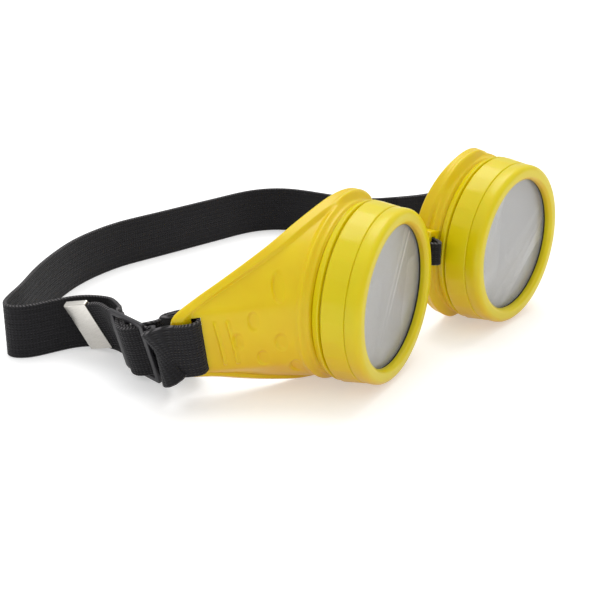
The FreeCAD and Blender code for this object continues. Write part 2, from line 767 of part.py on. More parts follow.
def slide_adjuster():
    """A plate with three bars and two windows, rounded at its corners."""
    frame = slider_frame()
    half_length = size("slider_centre_bar") / 2 + slider_window + size("slider_end_bar")
    half_height = slider_height / 2
    half_thickness = size("slider_thickness") / 2
    half_window = slider_window_height / 2
    plate = block(
        "slider_plate",
        frame,
        Vector(-half_length, -half_thickness, -half_height),
        "Sizes.slider_centre_bar + 2 * (%s) + 2 * Sizes.slider_end_bar" % SLIDER_WINDOW,
        "Sizes.slider_thickness",
        "Sizes.strap_width + Sizes.slider_window_play + 2 * Sizes.slider_rail",
    )
    result = plate
    for number, start in enumerate((size("slider_centre_bar") / 2, -half_length + size("slider_end_bar"))):
        window = block(
            "slider_window_%d" % number,
            frame,
            Vector(start, -2 * half_thickness, -half_window),
            SLIDER_WINDOW,
            "2 * Sizes.slider_thickness",
            "Sizes.strap_width + Sizes.slider_window_play",
        )
        result = cut("slider_cut_%d" % number, result, window)
    doc.recompute()
    corners = edges_along(
        result.Shape,
        frame,
        Vector(0, 1, 0),
        lambda middle: abs(middle.x) > half_length - 0.1 and abs(middle.z) > half_height - 0.1,
    )
    rounded = bound("Part::Fillet", "slide_adjuster_solid", {})
    rounded.Base = result
    rounded.Edges = [(number, 1.4, 1.4) for number in corners]
    return rounded


def strap_end_crimp():
    """Sheet metal folded over the strap's free end."""
    frame = tail_frame()
    metal = size("crimp_metal")
    gap = size("crimp_gap")
    half_thickness = size("strap_thickness") / 2 + gap + metal
    half_length = size("strap_width") / 2 + gap + metal
    outside = block(
        "crimp_outside",
        frame,
        Vector(0, -half_thickness, -half_length),
        "Sizes.crimp_width",
        "Sizes.strap_thickness + 2 * Sizes.crimp_gap + 2 * Sizes.crimp_metal",
        "Sizes.strap_width + 2 * Sizes.crimp_gap + 2 * Sizes.crimp_metal",
    )
    inside = block(
        "crimp_inside",
        frame,
        Vector(-metal, -half_thickness + metal, -half_length + metal),
        "Sizes.crimp_width",
        "Sizes.strap_thickness + 2 * Sizes.crimp_gap",
        "Sizes.strap_width + 2 * Sizes.crimp_gap",
    )
    return cut("strap_end_crimp_solid", outside, inside)


def bridge_clip(name, side):
    """A flat metal staple folded over the end of the bridge strap, behind the lug."""
    drop = size("lug_drop")
    metal = size("bridge_clip_thickness")
    half_gap = size("bridge_thickness") / 2 + 0.1
    half_height = size("bridge_width") / 2 + 0.1
    slot_out = bridge_slot_out()
    back = shoulder_front + 0.3 + size("lug_depth") + 0.3
    frame = cup_frame(side).multiply(FreeCAD.Placement(Vector(side * slot_out, back, -drop), FreeCAD.Rotation()))
    outside = block(
        name + "_outside",
        frame,
        Vector(-half_gap - metal, 0, -half_height - metal),
        "Sizes.bridge_thickness + 0.2 + 2 * Sizes.bridge_clip_thickness",
        "Sizes.bridge_clip_length",
        "Sizes.bridge_width + 0.2 + 2 * Sizes.bridge_clip_thickness",
    )
    inside = block(
        name + "_inside",
        frame,
        Vector(-half_gap, -metal, -half_height),
        "Sizes.bridge_thickness + 0.2",
        "Sizes.bridge_clip_length",
        "Sizes.bridge_width + 0.2",
    )
    return cut(name + "_solid", outside, inside)


# ---------------------------------------------------------------- the pieces

parts = {}
left_cup_shape = eye_cup()
for side_name, side in SIDES:
    cup_shape = left_cup_shape if side > 0 else left_cup_shape.mirror(Vector(0, 0, 0), Vector(1, 0, 0))
    cup = feature(side_name + "_eye_cup", cup_shape)
    cup.Placement = cup_frame(side)
    parts[side_name + "_eye_cup"] = cup
    parts[side_name + "_lens_ring"] = lens_ring(side_name + "_lens_ring", side)
    parts[side_name + "_front_gasket"] = washer(
        side_name + "_front_gasket", side, front_gasket_front, "Sizes.front_gasket_thickness"
    )
    parts[side_name + "_cover_lens"] = disc(
        side_name + "_cover_lens", side, cover_front, "Sizes.lens_radius", "Sizes.cover_lens_thickness"
    )
    parts[side_name + "_filter_lens"] = disc(
        side_name + "_filter_lens", side, filter_front, "Sizes.lens_radius", "Sizes.filter_lens_thickness"
    )
    parts[side_name + "_backing_lens"] = disc(
        side_name + "_backing_lens", side, backing_front, "Sizes.lens_radius", "Sizes.backing_lens_thickness"
    )
    parts[side_name + "_bridge_clip"] = bridge_clip(side_name + "_bridge_clip", side)
    parts[side_name + "_seat_gasket"] = washer(
        side_name + "_seat_gasket", side, seat_gasket_front, "Sizes.seat_gasket_thickness"
    )

strap_line = head_strap_stations()
parts["head_strap"] = feature(
    "head_strap", ribbon(strap_line, size("strap_width"), size("strap_thickness"), 4.0)
)
parts["bridge_strap"] = feature(
    "bridge_strap", ribbon(bridge_stations(), size("bridge_width"), size("bridge_thickness"), 1.5)
)
parts["slide_adjuster"] = slide_adjuster()
parts["strap_end_crimp"] = strap_end_crimp()

doc.recompute()
for item in doc.Objects:
    if "Invalid" in item.State or "Error" in item.State:
        raise RuntimeError("%s: %s" % (item.Name, item.State))
for name, piece in parts.items():
    piece.Label = name
    if piece.Shape.isNull() or not piece.Shape.isValid() or len(piece.Shape.Solids) != 1:
        raise RuntimeError("bad shape: " + name)

os.makedirs("parts", exist_ok=True)
for name, piece in parts.items():
    piece.Shape.exportStep("parts/%s.step" % name)
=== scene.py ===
"""Cup welding goggles, standing as they are put down: finished surfaces around the CAD frame.

Shapes are worked out in millimetres, in each cup's own frame or in the row frame, and are turned into
metres when a piece is made. A cup's own frame has its origin on the lens axis at the front face of the
ring: x out (away from the nose), y back (towards the face) and z up.
"""

from __future__ import annotations

import json
import logging
import math
from dataclasses import dataclass, field
from enum import Enum
from typing import Any, Sequence

import bmesh
import bpy
import numpy as np
from mathutils import Matrix, Vector

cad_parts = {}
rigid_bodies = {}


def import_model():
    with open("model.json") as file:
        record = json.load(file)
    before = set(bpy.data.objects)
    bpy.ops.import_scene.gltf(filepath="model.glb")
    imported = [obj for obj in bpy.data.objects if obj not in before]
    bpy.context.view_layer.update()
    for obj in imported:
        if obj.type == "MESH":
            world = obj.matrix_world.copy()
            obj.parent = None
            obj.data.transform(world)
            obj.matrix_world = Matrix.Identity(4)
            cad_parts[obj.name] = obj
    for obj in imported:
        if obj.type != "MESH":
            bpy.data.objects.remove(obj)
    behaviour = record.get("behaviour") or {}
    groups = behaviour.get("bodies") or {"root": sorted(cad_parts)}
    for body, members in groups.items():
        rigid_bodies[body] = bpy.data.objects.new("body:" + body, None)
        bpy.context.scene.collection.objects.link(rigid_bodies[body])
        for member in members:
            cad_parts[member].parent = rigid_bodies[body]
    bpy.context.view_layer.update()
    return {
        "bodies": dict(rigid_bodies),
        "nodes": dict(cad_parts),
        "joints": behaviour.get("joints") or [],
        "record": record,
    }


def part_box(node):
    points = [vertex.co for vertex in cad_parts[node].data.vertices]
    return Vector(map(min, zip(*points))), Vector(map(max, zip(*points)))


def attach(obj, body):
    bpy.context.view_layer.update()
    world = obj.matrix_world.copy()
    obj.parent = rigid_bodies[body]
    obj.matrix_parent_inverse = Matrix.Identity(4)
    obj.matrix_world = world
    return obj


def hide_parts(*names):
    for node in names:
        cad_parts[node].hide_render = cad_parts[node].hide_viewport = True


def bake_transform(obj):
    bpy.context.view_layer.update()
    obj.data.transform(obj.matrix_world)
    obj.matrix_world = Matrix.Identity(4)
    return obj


log = logging.getLogger("goggles")

Mesh = bmesh.types.BMesh
Piece = bpy.types.Object
Material = bpy.types.Material
Socket = bpy.types.NodeSocket

MM = 0.001
WHITE = (1, 1, 1, 1)

# The midpoint between the two ring fronts, in the row frame.
MIDDLE = Vector((0.58, -72.32, 29.4))

# How far the straps clear the table.
STRAP_REST = 0.03


class Side(Enum):
    """A cup, named for the wearer's side. The value is its direction along X."""

    RIGHT = -1
    LEFT = 1

    @property
    def word(self) -> str:
        """The name used in pieces, nodes and bodies."""
        return self.name.lower()


# ---------------------------------------------------------------- lines and meshes


class SmoothLine:
    """A cubic line of even bend through points, as a draughtsman's spline lies."""

    def __init__(self, points: Sequence[Sequence[float]], knots: Sequence[float]) -> None:
        """Fit the line.

        Args:
            points: the places it passes through.
            knots: the value of its parameter at each of them, rising.
        """
        self.values = np.array([list(point) for point in points], float)
        self.knots = np.array(knots, float)
        count = len(self.knots)
        gaps = np.diff(self.knots)
        matrix = np.eye(count)
        right = np.zeros_like(self.values)
        for k in range(1, count - 1):
            matrix[k, k - 1 : k + 2] = gaps[k - 1], 2 * (gaps[k - 1] + gaps[k]), gaps[k]
            slope = (self.values[k + 1] - self.values[k]) / gaps[k]
            right[k] = 6 * (slope - (self.values[k] - self.values[k - 1]) / gaps[k - 1])
        self.bends = np.linalg.solve(matrix, right)

    def at(self, knot: float) -> np.ndarray:
        """The place at a value of the parameter."""
        k = int(np.clip(np.searchsorted(self.knots, knot) - 1, 0, len(self.knots) - 2))
        gap = self.knots[k + 1] - self.knots[k]
        before, after = knot - self.knots[k], self.knots[k + 1] - knot
        straight = (self.values[k] * after + self.values[k + 1] * before) / gap
        start_bend = self.bends[k] * (after**3 / gap - gap * after)
        end_bend = self.bends[k + 1] * (before**3 / gap - gap * before)
        return straight + (start_bend + end_bend) / 6


def closed_line(points: Sequence[Sequence[float]]) -> SmoothLine:
    """A smooth ring through points, with one unit of parameter from each to the next."""
    overlap = 4
    count = len(points)
    numbers = range(-overlap, count + overlap + 1)
    return SmoothLine([points[number % count] for number in numbers], list(numbers))


def smoothstep(low: float, high: float, value: float) -> float:
    """0 below low, 1 above high and a smooth rise between."""
    share = min(1.0, max(0.0, (value - low) / (high - low)))
    return share * share * (3 - 2 * share)


def skin(
    rows: Sequence[Sequence[Vector]], across: Sequence[float] = (), along: Sequence[float] = ()
) -> Mesh:
    """A sheet of quads whose corners lie on the given rows.

    Args:
        rows: rows of points, each with the same number of points.
        across: a distance for each point of a row, for the UV map.
        along: a distance for each row, for the UV map.

    Returns:
        The sheet, with its seams merged where the rows or their ends meet.
    """
    bm = bmesh.new()
    uv = bm.loops.layers.uv.new("UVMap")
    steps_row, steps_point = len(rows) - 1, len(rows[0]) - 1
    bmesh.ops.create_grid(bm, x_segments=steps_row, y_segments=steps_point, size=1.0, calc_uvs=True)
    places = {}
    for vert in bm.verts:
        row = round((vert.co.x + 1) / 2 * steps_row)
        point = round((vert.co.y + 1) / 2 * steps_point)
        places[vert] = (row, point)
        vert.co = rows[row][point]
    if across:
        for face in bm.faces:
            for loop in face.loops:
                row, point = places[loop.vert]
                loop[uv].uv = (across[point] * MM, along[row] * MM)
    bmesh.ops.remove_doubles(bm, verts=bm.verts[:], dist=0.002)
    return bm


def block(size: Sequence[float], centre: Sequence[float], edge: float, segments: int = 3) -> Mesh:
    """A block with rounded edges."""
    bm = bmesh.new()
    bmesh.ops.create_cube(bm, size=1.0)
    bmesh.ops.scale(bm, vec=Vector(size), verts=bm.verts[:])
    bmesh.ops.translate(bm, vec=Vector(centre), verts=bm.verts[:])
    round_edges(bm, bm.edges[:], edge, segments)
    return bm


def round_edges(bm: Mesh, edges: list, width: float, segments: int = 3) -> None:
    """Round some edges of a mesh."""
    bmesh.ops.bevel(
        bm, geom=edges, offset=width, offset_type="OFFSET", segments=segments, profile=0.5,
        affect="EDGES", material=-1,
    )


def join(parts: Sequence[Mesh]) -> Mesh:
    """Put several meshes in one."""
    whole = bmesh.new()
    for part in parts:
        mesh = bpy.data.meshes.new("part")
        part.to_mesh(mesh)
        part.free()
        whole.from_mesh(mesh)
        bpy.data.meshes.remove(mesh)
    return whole


def make_piece(
    name: str, bm: Mesh, place: Matrix, material: Material, sharp: float = 38.0
) -> Piece:
    """Turn a mesh in millimetres into an object in metres, with its place in its mesh.

    Args:
        name: the object's name.
        bm: the mesh, which is freed.
        place: from the mesh's frame to the row frame, in millimetres.
        material: its finish.
        sharp: the angle in degrees above which an edge is drawn sharp.

    Returns:
        The object, linked to the scene.
    """
    bmesh.ops.transform(bm, matrix=Matrix.Scale(MM, 4) @ place, verts=bm.verts[:])
    bmesh.ops.recalc_face_normals(bm, faces=bm.faces[:])
    mesh = bpy.data.meshes.new(name)
    drawn_sharp = [edge.index for edge in bm.edges if not edge.smooth]
    for face in bm.faces:
        face.smooth = True
    bm.to_mesh(mesh)
    bm.free()
    mesh.set_sharp_from_angle(angle=math.radians(sharp))
    for index in drawn_sharp:
        mesh.edges[index].use_edge_sharp = True
    mesh.materials.append(material)
    piece = bpy.data.objects.new(name, mesh)
    bpy.context.scene.collection.objects.link(piece)
    log.info("%s: %d faces", name, len(mesh.polygons))
    return piece


# ---------------------------------------------------------------- finishes


def linear(code: str) -> tuple[float, float, float, float]:
    """An sRGB hex colour as the linear values that a shader takes."""
    parts = [int(code[start : start + 2], 16) / 255 for start in (1, 3, 5)]
    curve = [part / 12.92 if part <= 0.04045 else ((part + 0.055) / 1.055) ** 2.4 for part in parts]
    return curve[0], curve[1], curve[2], 1.0


class NodeTree:
    """A tree of shader nodes as it is built."""

    def __init__(self, tree: bpy.types.NodeTree) -> None:
        """Start with an empty tree."""
        tree.nodes.clear()
        self.tree = tree

    def add(self, kind: str, inputs: dict[Any, Any] | None = None, **settings: Any) -> bpy.types.Node:
        """Add a node.

        Args:
            kind: its type, without the word that all types start with.
            inputs: for each input socket, its value or the output that feeds it.
            settings: the node's own properties.

        Returns:
            The node.
        """
        node = self.tree.nodes.new("ShaderNode" + kind)
        for name, value in settings.items():
            setattr(node, name, value)
        for socket, value in (inputs or {}).items():
            if isinstance(value, Socket):
                self.tree.links.new(value, node.inputs[socket])
            else:
                node.inputs[socket].default_value = value
        return node

    def place(self) -> Socket:
        """The place on the object, in metres."""
        return self.add("TexCoord").outputs["Object"]

    def noise(self, place: Socket, per_metre: float, detail: float = 2.0) -> Socket:
        """Soft noise with so many grains to a metre."""
        inputs = {"Vector": place, "Scale": per_metre, "Detail": detail}
        return self.add("TexNoise", inputs).outputs["Fac"]

    def maths(self, operation: str, *values: Any) -> Socket:
        """A sum on outputs and numbers."""
        return self.add("Math", dict(enumerate(values)), operation=operation).outputs[0]

    def ramp(self, share: Socket, low: Any, high: Any, start: float = 0.0, end: float = 1.0) -> Socket:
        """A value that goes from low to high while share goes from start to end."""
        return self.add("MapRange", {0: share, 1: start, 2: end, 3: low, 4: high}).outputs[0]

    def mix(self, share: Socket, low: Any, high: Any) -> Socket:
        """A colour between two others."""
        return self.add("Mix", {0: share, 6: low, 7: high}, data_type="RGBA").outputs[2]

    def bump(self, height: Socket, strength: float, depth_mm: float) -> Socket:
        """The surface's direction with a fine relief on it."""
        inputs = {"Strength": strength, "Distance": depth_mm * MM, "Height": height}
        return self.add("Bump", inputs).outputs[0]


class Finish(NodeTree):
    """A material with one main shader."""

    def __init__(self, name: str, values: dict[str, Any]) -> None:
        """Make the material, with constants on the main shader's own sockets."""
        self.made = bpy.data.materials.new(name)
        self.made.use_nodes = True
        super().__init__(self.made.node_tree)
        self.shader = self.add("BsdfPrincipled", values)
        self.add("OutputMaterial", {"Surface": self.shader.outputs["BSDF"]})

    def feed(self, outputs: dict[str, Socket]) -> Material:
        """Join outputs to the main shader's sockets, and give the material."""
        for socket, output in outputs.items():
            self.tree.links.new(output, self.shader.inputs[socket])
        return self.made


@dataclass(frozen=True)
class MouldedVinyl:
    """Flexible PVC injected in a polished mould: even, strongly coloured, softly shining and slightly
    see-through. Faces that turn downwards are painted a deeper orange, as painted shade."""

    name: str
    colour: str = "#E2CA00"
    deep_colour: str = "#D8B800"
    # Painted shade: the deeper orange painted on faces that turn downwards.
    painted_shade_colour: str = "#D0A000"
    roughness: float = 0.33
    ripple_mm: float = 9.0
    grain_mm: float = 0.45

    def material(self) -> Material:
        """Make the finish."""
        finish = Finish(self.name, {
            "IOR": 1.53, "Subsurface Weight": 0.25, "Subsurface Scale": 0.004,
            "Subsurface Radius": (1.0, 0.45, 0.05), "Specular IOR Level": 0.35,
        })
        place = finish.place()
        ripple = finish.noise(place, 1 / (self.ripple_mm * MM))
        grain = finish.noise(place, 1 / (self.grain_mm * MM))
        colour = finish.mix(ripple, linear(self.deep_colour), linear(self.colour))
        normal = finish.add("NewGeometry").outputs["Normal"]
        upwards = finish.add("SeparateXYZ", {0: normal}).outputs[2]
        # Painted shade: the more a face turns downwards, the more it takes the painted shade colour.
        under = finish.ramp(upwards, 0.0, 1.0, start=0.0, end=-0.9)
        return finish.feed({
            "Base Color": finish.mix(under, colour, linear(self.painted_shade_colour)),
            "Roughness": finish.ramp(grain, self.roughness - 0.05, self.roughness + 0.07),
            "Normal": finish.bump(finish.maths("MULTIPLY_ADD", ripple, 4.0, grain), 0.25, 0.06),
        })


@dataclass(frozen=True)
class KnittedElastic:
    """Black knitted elastic braid: matt polyester stitches in fine wales, over rubber cores that show
    as broad ribs along the strap, and a picot edge. The stitch crowns are painted lighter and their
    hollows darker, as painted shade, and the edge a lighter grey, as a painted sheen. Real stitches are
    about 0.5 mm; these are drawn coarser so that they show."""

    name: str
    colour: str = "#1D1C20"
    shade: str = "#0B0A0C"
    # Painted sheen: the light grey painted along the strap's picot edge.
    edge_sheen_colour: str = "#8A8688"
    wale_mm: float = 0.95
    stitch_mm: float = 1.1
    half_width_mm: float = 9.5
    edge_mm: float = 0.45

    def material(self) -> Material:
        """Make the finish."""
        finish = Finish(self.name, {
            "IOR": 1.5, "Roughness": 0.82, "Specular IOR Level": 0.3, "Sheen Weight": 0.08,
            "Sheen Roughness": 0.5,
        })
        split = finish.add("SeparateXYZ", {0: finish.add("UVMap", uv_map="UVMap").outputs["UV"]})
        across, along = split.outputs[0], split.outputs[1]
        wale = finish.maths("FRACT", finish.maths("MULTIPLY", across, 1 / (self.wale_mm * MM)))
        arm = finish.maths("ABSOLUTE", finish.maths("SUBTRACT", wale, 0.5))
        stitch = finish.maths("MULTIPLY_ADD", along, 1 / (self.stitch_mm * MM), arm)
        wave = finish.maths("SINE", finish.maths("MULTIPLY", stitch, 2 * math.pi))
        crown = finish.maths("MULTIPLY_ADD", arm, -1.6, 0.8)
        fuzz = finish.noise(finish.place(), 900.0)
        knit = finish.maths("MULTIPLY_ADD", wave, 0.35, crown)
        height = finish.maths("MULTIPLY_ADD", fuzz, 0.5, knit)
        # Painted shade: stitch crowns are painted lighter and the hollows between them darker, with random
        # fuzz.
        lit = finish.ramp(height, 0.0, 1.0, start=0.2, end=1.3)
        body = finish.mix(lit, linear(self.shade), linear(self.colour))
        inner, outer = (self.half_width_mm - self.edge_mm) * MM, self.half_width_mm * MM
        hem = finish.ramp(finish.maths("ABSOLUTE", across), 0.0, 1.0, start=inner, end=outer)
        # Painted sheen: the edge band takes the light grey, most where the stitch crowns are lit.
        picot = finish.maths("MULTIPLY", hem, lit)
        return finish.feed({
            "Base Color": finish.mix(picot, body, linear(self.edge_sheen_colour)),
            "Normal": finish.bump(height, 0.9, 0.22),
        })


@dataclass(frozen=True)
class PlainSolid:
    """A plain solid with a fine moulded, rolled or brushed surface. Moulded acetal and rubber are matt
    and dark; plated sheet steel is bright, with faint rolling marks along it."""

    name: str
    colour: str
    worn_colour: str
    roughness: float
    metallic: float = 0.0
    ior: float = 1.5
    grain_mm: tuple[float, float, float] = (0.5, 0.5, 0.5)
    relief_mm: float = 0.02
    unevenness: float = 0.06

    def material(self) -> Material:
        """Make the finish."""
        finish = Finish(self.name, {"IOR": self.ior, "Metallic": self.metallic})
        scale = tuple(1 / (grain * MM) for grain in self.grain_mm)
        mapped = finish.add("Mapping", {"Vector": finish.place(), "Scale": scale})
        grain = finish.noise(mapped.outputs[0], 1.0)
        smooth, rough = self.roughness - self.unevenness, self.roughness + self.unevenness
        return finish.feed({
            "Base Color": finish.mix(grain, linear(self.colour), linear(self.worn_colour)),
            "Roughness": finish.ramp(grain, smooth, rough),
            "Normal": finish.bump(grain, 0.3, self.relief_mm),
        })


@dataclass(frozen=True)
class LensGlass:
    """A polished lens with the faint haze that handling leaves. The clear ones let light through; the
    welding filter has a silver coat that mirrors the room softly."""

    name: str
    colour: str
    transmission: float
    roughness: float
    ior: float = 1.52
    metallic: float = 0.0

    def material(self) -> Material:
        """Make the finish."""
        finish = Finish(self.name, {
            "Base Color": linear(self.colour), "IOR": self.ior, "Metallic": self.metallic,
            "Transmission Weight": self.transmission,
        })
        haze = finish.noise(finish.place(), 60.0, detail=4.0)
        shine = finish.ramp(haze, self.roughness, self.roughness + 0.012, start=0.35, end=0.75)
        return finish.feed({"Roughness": shine})


class Finishes:
    """Every finish of the goggles, made once."""

    def __init__(self) -> None:
        """Make them."""
        self.cup = MouldedVinyl("moulded_yellow_vinyl").material()
        self.ring = MouldedVinyl(
            "moulded_yellow_ring", colour="#DCCA00", deep_colour="#D6C200", roughness=0.3
        ).material()
        self.elastic = KnittedElastic("knitted_black_elastic").material()
        self.bridge_elastic = KnittedElastic(
            "narrow_black_elastic", half_width_mm=4.0, wale_mm=0.8
        ).material()
        self.adjuster = PlainSolid(
            "moulded_grey_acetal", "#1D1C1F", "#2A282C", 0.34, ior=1.48
        ).material()
        self.steel = PlainSolid(
            "plated_sheet_steel", "#E9E6E0", "#D8D4CC", 0.24, metallic=1.0, grain_mm=(0.3, 3.0, 6.0),
            relief_mm=0.01,
        ).material()
        self.rubber = PlainSolid("black_gasket_rubber", "#1A1A1B", "#232323", 0.7).material()
        self.cover = LensGlass("clear_cover_lens", "#FFFFFF", 0.82, 0.22).material()
        self.filter = LensGlass(
            "silvered_welding_filter", "#FFFFFF", 0.0, 0.42, ior=1.6, metallic=1.0
        ).material()
        self.backing = LensGlass("clear_backing_lens", "#FFFFFF", 1.0, 0.01, ior=1.585).material()
        self.thread = PlainSolid(
            "polyester_sewing_thread", "#3A383B", "#5A575A", 0.7, grain_mm=(0.3, 0.3, 0.3)
        ).material()


# ---------------------------------------------------------------- cups and rings


@dataclass
class CupFrame:
    """Where one cup stands: turned in towards the nose and rolled a little about its lens axis."""

    side: Side
    half_spacing: float = 33.6
    half_stagger: float = 5.6
    toe_in: float = math.radians(4.975)
    roll: float = math.radians(12.0)

    def matrix(self) -> Matrix:
        """From the cup's own frame to the row frame, in millimetres."""
        sign = self.side.value
        origin = MIDDLE + Vector((sign * self.half_spacing, -sign * self.half_stagger, 0))
        out = Vector((sign * math.cos(self.toe_in), -math.sin(self.toe_in), 0))
        back = Vector((sign * math.sin(self.toe_in), math.cos(self.toe_in), 0))
        up = Vector((0, 0, 1))
        rolled_out = out * math.cos(self.roll) - up * math.sin(self.roll)
        rolled_up = out * math.sin(self.roll) + up * math.cos(self.roll)
        turn = Matrix((rolled_out, back, rolled_up)).transposed()
        return Matrix.Translation(origin) @ turn.to_4x4()

    def direction(self, local: Sequence[float]) -> Vector:
        """A direction of the cup's own frame in the row frame."""
        return self.matrix().to_3x3() @ Vector(local)


@dataclass
class LensRing:
    """The screw ring: a rounded bezel, a band of gripping flats, a groove and a rear flange."""

    finishes: Finishes
    flats: int = 28
    steps_per_flat: int = 8
    bezel_radius: float = 28.3
    band_radius: float = 29.4
    bore_radius: float = 26.96
    lip_radius: float = 23.25
    lip: float = 2.4
    length: float = 15.8
    band_start: float = 5.3
    band_end: float = 12.35

    def outline(self) -> list[tuple[float, float]]:
        """The ring's section, radius against back, from the lip round the outside to the bore."""
        bezel, band, lip, bore = self.bezel_radius, self.band_radius, self.lip_radius, self.bore_radius
        start, end = self.band_start, self.band_end
        front = [
            (lip, self.lip), (lip, 1.15), (lip + 0.08, 0.92), (lip + 0.3, 0.7), (lip + 0.75, 0.2),
            (lip + 1.0, 0.06), (lip + 1.35, 0.0), (bezel - 1.9, 0.0), (bezel - 1.45, 0.08),
            (bezel - 0.95, 0.3), (bezel - 0.5, 0.7), (bezel - 0.18, 1.25), (bezel - 0.04, 1.9),
        ]
        side = [
            (bezel, 2.6), (bezel, 4.6), (bezel - 0.05, 4.8), (bezel - 0.3, 4.92), (bezel - 0.3, 5.08),
            (bezel - 0.02, 5.2), (bezel + 0.12, start), (bezel + 0.2, start + 0.2),
            (band - 0.02, end - 0.5), (band, end - 0.25), (band - 0.1, end - 0.05),
            (band - 0.35, end + 0.1), (bezel - 0.4, end + 0.25), (bezel - 0.5, end + 0.5),
            (bezel - 0.4, end + 0.85),
        ]
        rear = [
            (band - 0.5, 13.35), (band - 0.28, 13.5), (band - 0.2, 13.75), (bezel + 0.3, 15.2),
            (bezel + 0.15, 15.55), (bezel - 0.15, 15.75), (bezel - 0.5, self.length),
            (bore, self.length), (bore, self.lip), (lip, self.lip),
        ]
        return front + side + rear

    def radius(self, radius: float, back: float, angle: float) -> float:
        """The radius where the section meets a flat, at an angle about the axis."""
        if not self.band_start <= back <= self.band_end or radius < self.bezel_radius:
            return radius
        pitch = 2 * math.pi / self.flats
        offset = (angle % pitch) - pitch / 2
        flat = radius * math.cos(pitch / 2) / math.cos(offset)
        return radius + (flat - radius) * smoothstep(self.band_start, self.band_start + 1.0, back)

    def build(self, frame: CupFrame) -> Piece:
        """Make the ring on one cup."""
        count = self.flats * self.steps_per_flat
        rows = []
        for radius, back in self.outline():
            row = []
            for step in range(count + 1):
                angle = 2 * math.pi * (step % count) / count
                reach = self.radius(radius, back, angle)
                row.append(Vector((reach * math.cos(angle), back, reach * math.sin(angle))))
            rows.append(row)
        bm = skin(rows)
        pitch = 2 * math.pi / self.flats
        for edge in bm.edges:
            first, second = (vert.co for vert in edge.verts)
            middle = (first + second) / 2
            angle = math.atan2(middle.z, middle.x) / pitch
            long_way = abs(first.y - second.y) > 1.5
            if long_way and math.hypot(middle.x, middle.z) > self.bezel_radius + 0.3:
                edge.smooth = abs(angle - round(angle)) > 0.02
        name = frame.side.word + "_ring"
        piece = make_piece(name + "_shell", bm, frame.matrix(), self.finishes.ring)
        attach(piece, name)
        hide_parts(frame.side.word + "_lens_ring")
        return piece


